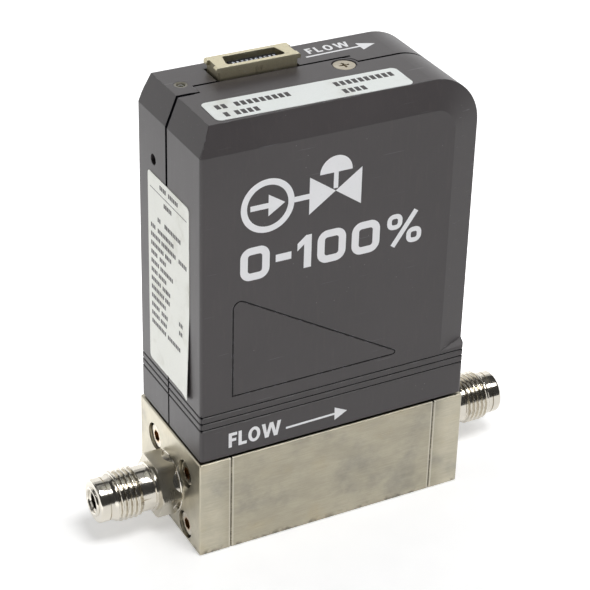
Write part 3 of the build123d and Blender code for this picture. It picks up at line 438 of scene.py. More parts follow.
@dataclass(frozen=True)
class HousingMoulding(MouldedPlastic):
    """The housing's moulding, with painted shade in its seam, its grooves and its recessed outline."""

    # Painted shade: the near-black laid in the seam, the grooves and the recessed outline.
    grime_and_painted_shade: Colour = tone(12, 12, 15)
    roof_depth: float = 1.0
    seam_reach: float = 0.42
    seam_blur: float = 0.06
    step_y: float = 5.1
    step_x: Point = (-30.5, 13.9)
    wide_seam: float = 0.2
    wide_seam_x: Point = (-31.0, -33.0)
    wide_seam_z: Point = (70.0, 112.0)
    groove_z: Point = (38.9, 44.5)
    groove_depth: Point = (0.16, 0.36)
    groove_shade: float = 0.6
    outline_x: Point = (-31.3, 20.5)
    outline_z: Point = (47.5, 78.5)
    outline_depth: Point = (0.04, 0.2)
    front_y: Point = (0.0, -1.0)

    def shaded(self, shader: Shader, place: Value, colour: Value) -> Value:
        """Paints shade into the seam, the grooves and the outline."""
        x, y, z = shader.parts(place)
        # Painted shade along the seam between the housing halves; on the roof it follows the seam's step, and
        # high up at the inlet end it is wider.
        roof_foot = HOUSING_TOP - self.roof_depth
        stepped = z.rise(roof_foot, roof_foot + 0.1) * x.within(*self.step_x)
        near, far = self.seam_reach, self.seam_reach - self.seam_blur
        open_seam = x.rise(*self.wide_seam_x) * z.rise(*self.wide_seam_z) * self.wide_seam
        seam = (abs(y - SEAM_Y) - open_seam).rise(near, far) * (1.0 - stepped)
        seam = seam.highest(abs(y - self.step_y).rise(near, far) * stepped)
        # Painted shade in the grooves low round the housing and in the recessed outline on its front.
        from_side = HOUSING_HALF_WIDTH - abs(y)
        depth = (HOUSING_HALF_LENGTH - abs(x)).lowest(from_side)
        groove = depth.rise(*self.groove_depth) * z.within(*self.groove_z)
        outline_shade = from_side.rise(*self.outline_depth) * y.rise(*self.front_y)
        outline_shade = outline_shade * x.within(*self.outline_x) * z.within(*self.outline_z)
        # The seam and the grooves get matt painted shade; the grooves and the outline also get the near-black as
        # colour.
        shader.cover(seam.highest(groove * self.groove_shade), self.grime_and_painted_shade)
        return shader.blend(groove.highest(outline_shade), colour, self.grime_and_painted_shade)


@dataclass(frozen=True)
class GroundSteel(Finish):
    """Steel ground flat with one fine grain along its length, a little stained by handling, with painted shade on
    its front faces and in its joints and painted highlights on the chamfers beside the joints.
    """

    stain: Colour = tone(132, 134, 136)
    warm: Colour = tone(196, 182, 150)
    # Colour of the dark spots along the foot and of the painted shade in the joints.
    grime_and_painted_shade: Colour = tone(34, 28, 20)
    valley: Colour = tone(120, 116, 104)
    # The joint's place and reach say where shade is painted in the joints between the blocks.
    joint_x: float = 30.8
    joint_reach: Point = (0.3, 0.16)
    # The chamfer's start, end and bright colour paint highlights on the chamfers beside the joints.
    chamfer_start: Point = (0.3, 0.4)
    chamfer_end: Point = (0.75, 0.6)
    painted_chamfer_highlight: Colour = tone(236, 232, 220)
    # Painted shade: multiplies the colour of the faces that do not face along x, less on the end blocks.
    painted_front_shade: Colour = tone(226, 225, 223)
    end_blocks: Point = (31.0, 36.0)
    foot: Point = (2.2, 0.2)
    edge_round: float = 0.15

    def paint(self, shader: Shader) -> None:
        """Adds the grinding lines, the stains, the smears, dark spots along the foot, painted shade in the
        joints, painted highlights on the joints' chamfers and painted shade on the faces that do not face along
        x.
        """
        place = shader.place()
        x, _, z = shader.parts(place)
        across = abs(shader.parts(shader.facing())[0])
        along_x = shader.noise(shader.stretched(place, (0.03, 1.0, 1.0)), 5.0, 3.0, 0.7)
        along_z = shader.noise(shader.stretched(place, (1.0, 1.0, 0.05)), 5.0, 3.0, 0.7)
        lines = along_x + (along_z - along_x) * across.rise(0.4, 0.6)
        clouds = shader.noise(place, 0.06, 5.0, 0.62)
        smears = shader.noise(shader.stretched(place, (0.5, 1.0, 1.0)), 0.2, 5.0, 0.65)
        spots = shader.noise(place, 0.7, 3.0, 0.6).rise(0.66, 0.78)
        colour = self.tinted(shader, self.colour, smears)
        colour = shader.blend(clouds.rise(0.5, 0.72) * 0.42, colour, self.stain)
        colour = shader.blend(clouds.rise(0.48, 0.3) * 0.4, colour, self.warm)
        colour = shader.blend(spots * 0.16, colour, self.stain)
        colour = shader.blend(lines.rise(0.62, 0.38) * 0.16, colour, self.valley)
        # Painted shade: the faces that do not face along x are made darker, less so on the end blocks.
        front = across.rise(0.8, 0.4) * (1.0 - abs(x).rise(*self.end_blocks) * 0.7)
        colour = shader.multiply(front, colour, self.painted_front_shade)
        off_joint = abs(abs(x) - self.joint_x)
        # Painted highlights on the chamfers beside the joints between the blocks.
        chamfer_highlight = off_joint.rise(*self.chamfer_start) * off_joint.rise(*self.chamfer_end)
        colour = shader.blend(chamfer_highlight * 0.3, colour, self.painted_chamfer_highlight)
        # Dark spots along the foot, and painted shade with dark ticks in the joints between the blocks.
        rim = z.rise(*self.foot) * shader.noise(place, 0.35, 4.0).rise(0.5, 0.66)
        joint_shade = off_joint.rise(*self.joint_reach)
        ticks = shader.noise(shader.stretched(place, (0.1, 0.1, 1.0)), 1.2, 3.0, 0.8).rise(0.3, 0.55)
        colour = shader.blend((rim * 0.6).highest(joint_shade * (0.1 + ticks * 0.5)), colour, self.grime_and_painted_shade)
        roughness = self.roughness + across.rise(0.4, 0.8) * 0.02 + (lines - 0.5) * 0.16
        roughness = roughness + (clouds - 0.5) * 0.2 + spots * 0.05
        shader.dress(colour, roughness, lines, self.grain, self.edge_round)


@dataclass(frozen=True)
class TurnedSteel(Finish):
    """Bright turned steel with faint rings round the x axis."""

    def paint(self, shader: Shader) -> None:
        """Adds the turning marks and a faint handling haze."""
        place = shader.place()
        rings = shader.noise(shader.stretched(place, (1.0, 0.02, 0.02)), 9.0, 2.0, 0.6)
        haze = shader.noise(place, self.mottle_scale, 4.0, 0.6)
        fine = shader.noise(place, self.grain_scale, 2.0)
        shader.dress(self.tinted(shader, self.colour, haze),
                     self.roughness + (haze - 0.5) * 0.12 + (rings - 0.5) * 0.06,
                     rings * 0.7 + fine * 0.3, self.grain)


@dataclass(frozen=True)
class HeatTinted(Finish):
    """Steel cap screws with brown and straw temper colours in their sockets."""

    tint: Colour = tone(214, 184, 146)
    socket_radius: float = 2.0
    screw_y: float = 9.7
    screw_z: float = 8.3

    def paint(self, shader: Shader) -> None:
        """Adds the temper colours round each screw's axis and a mottled shine."""
        place = shader.place()
        _, y, z = shader.parts(place)
        off_y = abs(y) - self.screw_y
        off_z = abs(z - PORT_HEIGHT) - self.screw_z
        radius = (off_y * off_y + off_z * off_z) ** 0.5
        patches = shader.noise(place, 0.5, 3.0, 0.6)
        inside = radius.rise(self.socket_radius + 0.3, self.socket_radius - 0.5)
        colour = shader.blend((inside * (0.35 + patches)).lowest(1.0), self.colour, self.tint)
        shader.dress(self.tinted(shader, colour, shader.noise(place, 0.9, 3.0)),
                     self.roughness + (patches - 0.5) * 0.2,
                     shader.noise(place, self.grain_scale, 2.0), self.grain)


@dataclass(frozen=True)
class PassivatedCasting(Finish):
    """Thin olive-gold passivation over a die casting, worn paler in places."""

    worn: Colour = tone(226, 222, 204)
    dark: Colour = tone(128, 118, 88)
    edge_round: float = 0.2

    def paint(self, shader: Shader) -> None:
        """Adds the cloudy film, its worn spots and edges and the casting's grain."""
        place = shader.place()
        cloud = shader.noise(place, 0.26, 5.0, 0.65)
        fine = shader.noise(place, self.grain_scale, 3.0, 0.6)
        edge = shader.edges(self.edge_round).rise(0.03, 0.2)
        colour = shader.blend((cloud.rise(0.54, 0.74) * 0.6).highest(edge * 0.7), self.colour, self.worn)
        colour = shader.blend(cloud.rise(0.46, 0.28) * 0.6 * (1.0 - edge), colour, self.dark)
        shader.dress(self.tinted(shader, colour, fine),
                     self.roughness + (cloud - 0.5) * 0.2 + (fine - 0.5) * 0.12,
                     fine * 0.6 + cloud * 0.4, self.grain, self.edge_round)


@dataclass(frozen=True)
class LabelFilm(Finish):
    """Satin printed film with faint soiling and a slight waviness."""

    soil: Colour = tone(190, 188, 172)

    def paint(self, shader: Shader) -> None:
        """Adds the soiling and the film's waviness."""
        place = shader.place()
        soiling = shader.noise(place, 0.1, 5.0, 0.62)
        fibres = shader.noise(place, 3.8, 2.0)
        colour = shader.blend(soiling.rise(0.48, 0.78) * 0.5, self.colour, self.soil)
        shader.dress(self.tinted(shader, colour, fibres), self.roughness + (soiling - 0.5) * 0.2,
                     soiling * 0.85 + fibres * 0.15, self.grain)


@dataclass(frozen=True)
class PrintedInk(Finish):
    """Pad-printed ink, slightly uneven in cover."""

    ground: Colour = tone(96, 92, 90)

    def paint(self, shader: Shader) -> None:
        """Adds pinholes and thin spots where the ground shows through."""
        place = shader.place()
        thin = shader.noise(place, 1.9, 3.0, 0.6).rise(0.6, 0.82)
        shader.dress(shader.blend(thin * self.mottle * 4.0, self.colour, self.ground),
                     self.roughness + thin * 0.15, thin, self.grain)


@dataclass(frozen=True)
class SolderMask(Finish):
    """Green circuit-board mask with copper tracks faintly raised under it."""

    track: Colour = tone(44, 118, 72)

    def paint(self, shader: Shader) -> None:
        """Adds a pattern of tracks and pads."""
        upright = shader.stretched(shader.place(), (1.0, 0.0, 1.0))
        tracks = shader.node("ShaderNodeTexBrick", {"offset": 0.37, "squash": 1.0},
                             {"Vector": upright, "Scale": 0.09, "Mortar Size": 0.03}, "Fac")
        pads = shader.cells(upright, 0.38).rise(0.2, 0.12)
        raised = tracks.highest(pads)
        shader.dress(shader.blend(raised, self.colour, self.track),
                     self.roughness + (1.0 - raised) * 0.08, raised, self.grain)


@dataclass(frozen=True)
class LampResin(Finish):
    """Tinted resin of a lamp that is off, with a darker heart."""

    heart: Colour = tone(50, 46, 40)

    def paint(self, shader: Shader) -> None:
        """Adds the darker heart seen through the resin."""
        veil = shader.noise(shader.place(), 0.7, 3.0)
        upward = shader.parts(shader.facing())[2]
        colour = shader.blend(upward.rise(0.75, 0.98), self.colour, self.heart)
        shader.dress(self.tinted(shader, colour, veil), self.roughness + (veil - 0.5) * self.mottle,
                     veil, self.grain)


HOUSING = HousingMoulding("housing_moulding", tone(64, 60, 61), 0.4, mottle=0.05, mottle_scale=0.04,
                          grain=0.006, grain_scale=3.6)
INNER_PLASTIC = MouldedPlastic("frame_moulding", tone(34, 34, 36), 0.5, grain_scale=3.0)
BASE_STEEL = GroundSteel("ground_steel", tone(196, 190, 172), 0.32, 1.0, mottle=0.04, grain=0.0012)
FITTING_STEEL = TurnedSteel("turned_steel", tone(214, 209, 198), 0.14, 1.0, mottle=0.02, grain=0.0008,
                            grain_scale=2.6)
HEXAGON_STEEL = TurnedSteel("milled_steel", tone(204, 199, 186), 0.29, 1.0, mottle=0.03, grain=0.0012)
BRIGHT_STEEL = TurnedSteel("machined_steel", tone(206, 204, 198), 0.26, 1.0, mottle=0.03, grain=0.001)
SCREW_STEEL = HeatTinted("tinted_screw_steel", tone(206, 200, 186), 0.15, 1.0, mottle=0.05, grain=0.002)
COVER_SCREW_STEEL = GroundSteel("cover_screw_steel", tone(216, 208, 190), 0.36, 1.0, mottle=0.06,
                                grain=0.002)
SEAL_NICKEL = TurnedSteel("seal_nickel", tone(196, 192, 180), 0.3, 1.0, mottle=0.04, grain=0.001)
SINTERED = Finish("sintered_steel", tone(140, 138, 134), 0.7, 1.0, grain=0.02, grain_scale=4.2)
WINDING_WIRE = Finish("winding_wire", tone(150, 84, 40), 0.35, mottle=0.1, grain=0.03, grain_scale=9.0)
ALUMINIUM = TurnedSteel("satin_aluminium", tone(214, 215, 216), 0.4, 1.0, mottle=0.04, grain=0.002)
BRASS = TurnedSteel("machined_brass", tone(206, 178, 112), 0.28, 1.0, mottle=0.05, grain=0.001)
CERAMIC = Finish("piezo_ceramic", tone(104, 106, 98), 0.55, mottle=0.08, grain=0.01)
SOLDER_MASK = SolderMask("solder_mask", tone(20, 84, 48), 0.32, grain=0.02)
CHIP_RESIN = Finish("chip_resin", tone(34, 34, 36), 0.55, mottle=0.06, grain=0.008, grain_scale=6.5)
NYLON = Finish("natural_nylon", tone(226, 222, 208), 0.45, mottle=0.05, grain=0.006, grain_scale=2.6)
LEAD_SLEEVE = Finish("lead_sleeve", tone(176, 36, 30), 0.42, mottle=0.06, grain=0.005, grain_scale=1.8)
SWITCH_BLACK = Finish("switch_black", tone(30, 30, 32), 0.5, mottle=0.06, grain=0.006)
LAMP = LampResin("lamp_resin", tone(124, 126, 96), 0.08, mottle=0.06, grain=0.001, coat=0.6)
LAMP_RING = Finish("lamp_ring", tone(112, 108, 96), 0.4, mottle=0.06, grain=0.006, grain_scale=2.6)
CONNECTOR_PLATE = PassivatedCasting("olive_passivation", tone(212, 204, 174), 0.36, 0.9, mottle=0.03,
                                    grain=0.0004, grain_scale=2.6)
CONNECTOR_BLACK = Finish("insulator_black", tone(20, 20, 23), 0.62, mottle=0.06, grain=0.006,
                         specular=0.15)
CONTACT_PLATE = TurnedSteel("contact_plate", tone(196, 202, 214), 0.22, 1.0, mottle=0.05, grain=0.001)
TOP_FILM = LabelFilm("top_label_film", tone(226, 230, 228), 0.42, mottle=0.01, grain=0.02)
SIDE_FILM = LabelFilm("side_label_film", tone(238, 239, 232), 0.5, mottle=0.012, grain=0.03)
WHITE_INK = PrintedInk("white_ink", tone(232, 232, 234), 0.5, mottle=0.04, grain=0.003)
LABEL_INK = PrintedInk("label_ink", tone(66, 63, 64), 0.55, mottle=0.08, grain=0.001,
                       ground=tone(180, 178, 172))

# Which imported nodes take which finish
FINISHED_NODES: tuple[tuple[Finish, str], ...] = (
    (BASE_STEEL, "centre_block inlet_block outlet_block"),
    (SEAL_NICKEL, "inlet_seal outlet_seal sensor_seals"),
    (SCREW_STEEL, "inlet_block_screws outlet_block_screws"),
    (FITTING_STEEL, "inlet_fitting outlet_fitting"),
    (SINTERED, "inlet_filter"),
    (BRIGHT_STEEL, "laminar_flow_element sensor_base sensor_tube sensor_screws valve_seat "
                   "valve_diaphragm valve_flange valve_screws valve_plunger actuator_tube actuator_cap "
                   "preload_screw board_bracket bracket_screws board_screws frame_screws"),
    (WINDING_WIRE, "sensor_windings"),
    (ALUMINIUM, "sensor_case sensor_cover capacitors"),
    (BRASS, "sensor_terminals cover_insert"),
    (CERAMIC, "piezo_stack"),
    (LEAD_SLEEVE, "valve_leads"),
    (NYLON, "valve_socket board_spacers"),
    (SOLDER_MASK, "control_board"),
    (CHIP_RESIN, "processor_chip amplifier_chips driver_coil"),
    (SWITCH_BLACK, "zero_switch zero_button"),
    (LAMP_RING, "lamp_holder"),
    (LAMP, "status_lamp"),
    (CONNECTOR_PLATE, "connector_shell"),
    (CONNECTOR_BLACK, "connector_insert"),
    (CONTACT_PLATE, "connector_contacts"),
    (INNER_PLASTIC, "cover_frame"),
    (HOUSING, "housing_front housing_rear"),
    (COVER_SCREW_STEEL, "cover_screw"),
    (TOP_FILM, "top_label"),
    (SIDE_FILM, "side_label"),
)
NODE_FINISHES = {node: finish for finish, nodes in FINISHED_NODES for node in nodes.split()}


# ---------------------------------------------------------------- meshes
class Mesher:
    """Collects points, in millimetres, and faces, and makes one piece of them."""

    def __init__(self) -> None:
        """Starts empty."""
        self.points: list[Place] = []
        self.faces: list[Sequence[int]] = []

    def ring(self, points: Sequence[Place]) -> list[int]:
        """Adds a row of points.

        Args:
            points: the row.

        Returns:
            The points' numbers.
        """
        start = len(self.points)
        self.points.extend(points)
        return list(range(start, len(self.points)))

    def bridge(self, first: Sequence[int], second: Sequence[int], closed: bool = True) -> None:
        """Joins two rows of as many points with a band of four-sided faces.

        Args:
            first: one row.
            second: the other row.
            closed: whether the rows' ends are joined too.
        """
        count = len(first)
        for step in range(count if closed else count - 1):
            after = (step + 1) % count
            self.faces.append((first[step], first[after], second[after], second[step]))

    def loft(self, rows: Sequence[Sequence[Place]], looped: bool = True) -> None:
        """Joins closed rows of points, one to the next.

        Args:
            rows: the rows, as many points in each.
            looped: whether the last is joined to the first, or both are filled.
        """
        rings = [self.ring(row) for row in rows]
        for first, second in zip(rings, rings[1:]):
            self.bridge(first, second)
        if looped:
            self.bridge(rings[-1], rings[0])
        else:
            self.faces += [tuple(rings[0]), tuple(reversed(rings[-1]))]

    def prism(self, outline: Sequence[Place], lift: Vector) -> None:
        """Adds a closed flat prism.

        Args:
            outline: the outline of its foot.
            lift: from its foot to its top.
        """
        foot = self.ring(outline)
        top = self.ring([tuple(Vector(point) + lift) for point in outline])
        self.bridge(foot, top)
        self.faces.append(tuple(reversed(foot)))
        self.faces.append(tuple(top))

    def piece(self, name: str, finish: Finish, slot: str, body: str = BODY, smooth: float = 32.0,
              node: str = "") -> bpy.types.Object:
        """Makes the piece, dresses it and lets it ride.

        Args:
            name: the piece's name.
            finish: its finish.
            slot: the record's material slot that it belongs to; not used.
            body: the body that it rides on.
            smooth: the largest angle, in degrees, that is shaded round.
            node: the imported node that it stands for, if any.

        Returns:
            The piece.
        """
        mesh = bpy.data.meshes.new(name)
        mesh.from_pydata([tuple(value * MM for value in point) for point in self.points], [], self.faces)
        form = bmesh.new()
        form.from_mesh(mesh)
        bmesh.ops.recalc_face_normals(form, faces=form.faces)
        form.to_mesh(mesh)
        form.free()
        mesh.shade_smooth()
        mesh.set_sharp_from_angle(angle=math.radians(smooth))
        mesh.materials.append(finish.material())
        piece = bpy.data.objects.new(name, mesh)
        bpy.context.scene.collection.objects.link(piece)
        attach(piece, body)
        if node:
            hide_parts(node)
        log.info("%s: %d faces", name, len(self.faces))
        return piece


# ---------------------------------------------------------------- fittings
@dataclass
class Fitting:
    """A face-seal fitting, turned from bar: gland, rolled thread, neck, collar, flange and hexagon."""

    name: str
    side: int
    bore_radius: float = 2.3
    bore_depth: float = 14.0
    mouth: float = 0.35
    gland_radius: float = 6.1
    bead_radius: float = 4.1
    bead_height: float = 0.5
    gland_round: float = 0.7
    groove: Point = (3.05, 3.4)
    groove_depth: float = 0.3
    groove_slope: float = 0.06
    lead: Point = (4.5, 6.1)
    thread_radius: float = 7.13
    thread_end: float = 12.2
    runout: float = 0.4
    pitch: float = 1.411
    thread_depth: float = 0.82
    thread_step: float = 0.075
    crest_flat: float = 0.14
    flank_share: float = 0.62
    neck_radius: float = 6.35
    collar_radius: float = 6.8
    collar_start: float = 16.2
    collar_slope: float = 0.1
    tuck: float = 0.3
    hexagon: Point = (17.1, 22.5)
    hexagon_apothem: float = 7.94
    hexagon_chamfer: float = 0.5
    hexagon_overlap: float = 0.4
    corner_wear: float = 0.12
    flat_steps: int = 16
    flange_radius: float = 8.6
    flange_round: float = 0.2
    block_face: float = 23.0
    segments: int = 144

    def outline(self) -> list[Point]:
        """The turned outline as (distance from the tip, radius), with a plain band for the thread."""
        points = [(self.bore_depth, self.bore_radius), (self.bead_height + self.mouth, self.bore_radius),
                  (self.bead_height, self.bore_radius + self.mouth)]
        bead_centre = self.bead_radius - self.bead_height
        for step in range(9):
            turn = math.pi * step / 8
            points.append((self.bead_height * (1 - math.sin(turn)),
                           bead_centre - self.bead_height * math.cos(turn)))
        for step in range(8):
            turn = math.pi / 2 * step / 7
            points.append((self.bead_height + self.gland_round * (1 - math.cos(turn)),
                           self.gland_radius - self.gland_round * (1 - math.sin(turn))))
        start, end = self.groove
        points += [(start, self.gland_radius), (start + self.groove_slope, self.gland_radius - self.groove_depth),
                   (end - self.groove_slope, self.gland_radius - self.groove_depth),
                   (end, self.gland_radius)]
        points += [(self.lead[0], self.gland_radius), (self.lead[1], self.thread_radius)]
        foot, head = self.hexagon
        flange = self.flange_radius - self.flange_round
        return points + [
            (self.thread_end - self.runout, self.thread_radius),
            (self.thread_end + self.runout, self.neck_radius),
            (self.collar_start - self.collar_slope, self.neck_radius),
            (self.collar_start + self.collar_slope, self.collar_radius),
            (foot + self.tuck, self.collar_radius), (head - self.tuck, flange), (head + 0.02, flange),
            (head + self.flange_round, self.flange_radius), (self.block_face, self.flange_radius)]

    def stations(self) -> list[Point]:
        """The outline with its threaded stretch divided finely."""
        stations: list[Point] = []
        for (start, low), (end, high) in zip(self.outline(), self.outline()[1:]):
            threaded = self.lead[0] <= start < self.thread_end + 0.3
            count = max(1, round((end - start) / self.thread_step)) if threaded else 1
            stations += [(start + (end - start) * step / count, low + (high - low) * step / count)
                         for step in range(count)]
        return stations + [self.outline()[-1]]

    def thread(self, along: float, turn: float) -> float:
        """The rolled thread's radius.

        Args:
            along: the distance from the tip.
            turn: the angle round the axis, in radians.

        Returns:
            The radius of the crest, flank or root there.
        """
        phase = ((along - self.lead[1]) / self.pitch - turn / math.tau) % 1.0
        from_crest = abs(phase - 0.5) * 2
        flank = min(max((1 - from_crest - self.crest_flat) / self.flank_share, 0.0), 1.0)
        return self.thread_radius - self.thread_depth * flank * flank * (3 - 2 * flank)

    def at(self, along: float, radius: float, turn: float) -> Place:
        """A point of the fitting in the controller's frame.

        Args:
            along: the distance from the tip.
            radius: the distance from the axis.
            turn: the angle round the axis, in radians.

        Returns:
            The point, in millimetres.
        """
        x = self.side * (FACE_TO_FACE / 2 - along)
        return (x, self.side * radius * math.sin(turn), PORT_HEIGHT + radius * math.cos(turn))

    def build(self) -> None:
        """Makes the turned body and the hexagon, which together stand for the fitting."""
        self.build_body()
        self.build_hexagon()

    def build_body(self) -> None:
        """Makes the turned body with its thread."""
        turns = [math.tau * step / self.segments for step in range(self.segments)]
        rows = []
        for along, radius in self.stations():
            threaded = (self.lead[0] < along < self.thread_end + self.runout
                        and radius > self.gland_radius)
            rows.append([self.at(along, min(radius, self.thread(along, turn)) if threaded else radius, turn)
                         for turn in turns])
        mesher = Mesher()
        mesher.loft(rows[::-1], looped=False)
        mesher.piece(f"{self.name}_fitting_body", FITTING_STEEL, "fitting_steel",
                     node=f"{self.name}_fitting")

    def build_hexagon(self) -> None:
        """Makes the hexagon, with its corners turned down at both ends."""
        start, end = self.hexagon
        corner = self.hexagon_apothem / math.cos(math.pi / 6)
        cut = self.hexagon_chamfer
        ends = [(start + cut / 2 * step / 5, corner - cut + cut * step / 5) for step in range(6)]
        inner = self.neck_radius - self.hexagon_overlap
        profile = [(start, inner)] + ends
        profile += [(start + end - along, radius) for along, radius in reversed(ends)]
        profile.append((end, inner))
        rows = []
        for along, limit in profile:
            row = []
            for flat in range(6):
                for step in range(self.flat_steps):
                    lean = math.radians(60 * step / self.flat_steps - 30)
                    radius = min(self.hexagon_apothem / math.cos(lean), limit, corner - self.corner_wear)
                    row.append(self.at(along, radius, math.radians(60 * flat) + lean))
            rows.append(row)
        mesher = Mesher()
        mesher.loft(rows)
        mesher.piece(f"{self.name}_fitting_hexagon", HEXAGON_STEEL, "fitting_steel", smooth=20.0)


# ---------------------------------------------------------------- connector
@dataclass
class ContactTips:
    """The rounded tips of the connector's front contacts, bent over its tongue's edge."""

    middle: float = -12.1
    front: float = 8.1
    tongue_top: float = 128.0
    pitch: float = 1.27
    count: int = 10
    width: float = 0.62
    reach: float = 0.85
    drop: float = 0.2
    proud: float = 0.16
    tail: float = 0.2
    clear: float = 0.01

    def build(self) -> None:
        """Makes the row of tips."""
        rise = self.proud
        near, far = self.front, self.front + self.reach
        side = [(near, -self.drop), (near, rise / 2), (near + rise / 2, rise), (far - rise, rise),
                (far, rise / 4), (far, self.clear), (near + self.tail, self.clear),
                (near + self.tail - self.clear, -self.drop)]
        mesher = Mesher()
        for contact in range(self.count):
            x = self.middle + (contact - (self.count - 1) / 2) * self.pitch - self.width / 2
            outline = [(x, y, self.tongue_top + height) for y, height in side]
            mesher.prism(outline, Vector((self.width, 0.0, 0.0)))
        mesher.piece("contact_tips", CONTACT_PLATE, "contact_plate", smooth=50.0)


# ---------------------------------------------------------------- lamp
@dataclass
class LampBezel:
    """The lamp's flat rim, which fills the hole in the roof round its dome."""

    centre: Point = (-32.8, 7.2)
    radius: float = 1.78
    dome_radius: float = 1.12
    edge: float = 0.06
    depth: float = 0.6
    segments: int = 48

    def build(self) -> None:
        """Makes the rim as one turned piece."""
        slope = self.dome_radius + 2.0 * self.edge
        profile = [(self.radius, -self.depth), (self.radius, -self.edge), (self.radius - self.edge, 0.0),
                   (slope, -self.edge), (self.dome_radius, -3.0 * self.edge),
                   (self.dome_radius, -self.depth)]
        turns = [math.tau * step / self.segments for step in range(self.segments)]
        x, y = self.centre
        mesher = Mesher()
        mesher.loft([[(x + radius * math.cos(turn), y + radius * math.sin(turn), HOUSING_TOP + height)
                      for turn in turns] for radius, height in profile])
        mesher.piece("lamp_bezel", LAMP_RING, "lamp_red", smooth=50.0)


# ---------------------------------------------------------------- print and labels
@dataclass(frozen=True)
class Sheet:
    """A flat place on the controller with its own directions, in millimetres."""

    origin: Place
    across: Place
    up: Place

    def at(self, x: float, y: float, height: float = 0.0) -> Place:
        """A point of the sheet in the controller's frame.

        Args:
            x: the distance across.
            y: the distance up.
            height: how far it stands off the sheet.

        Returns:
            The point.
        """
        across = Vector(self.across)
        up = Vector(self.up)
        return tuple(Vector(self.origin) + across * x + up * y + across.cross(up) * height)

    def normal(self) -> Vector:
        """The direction in which the sheet faces."""
        return Vector(self.across).cross(Vector(self.up))


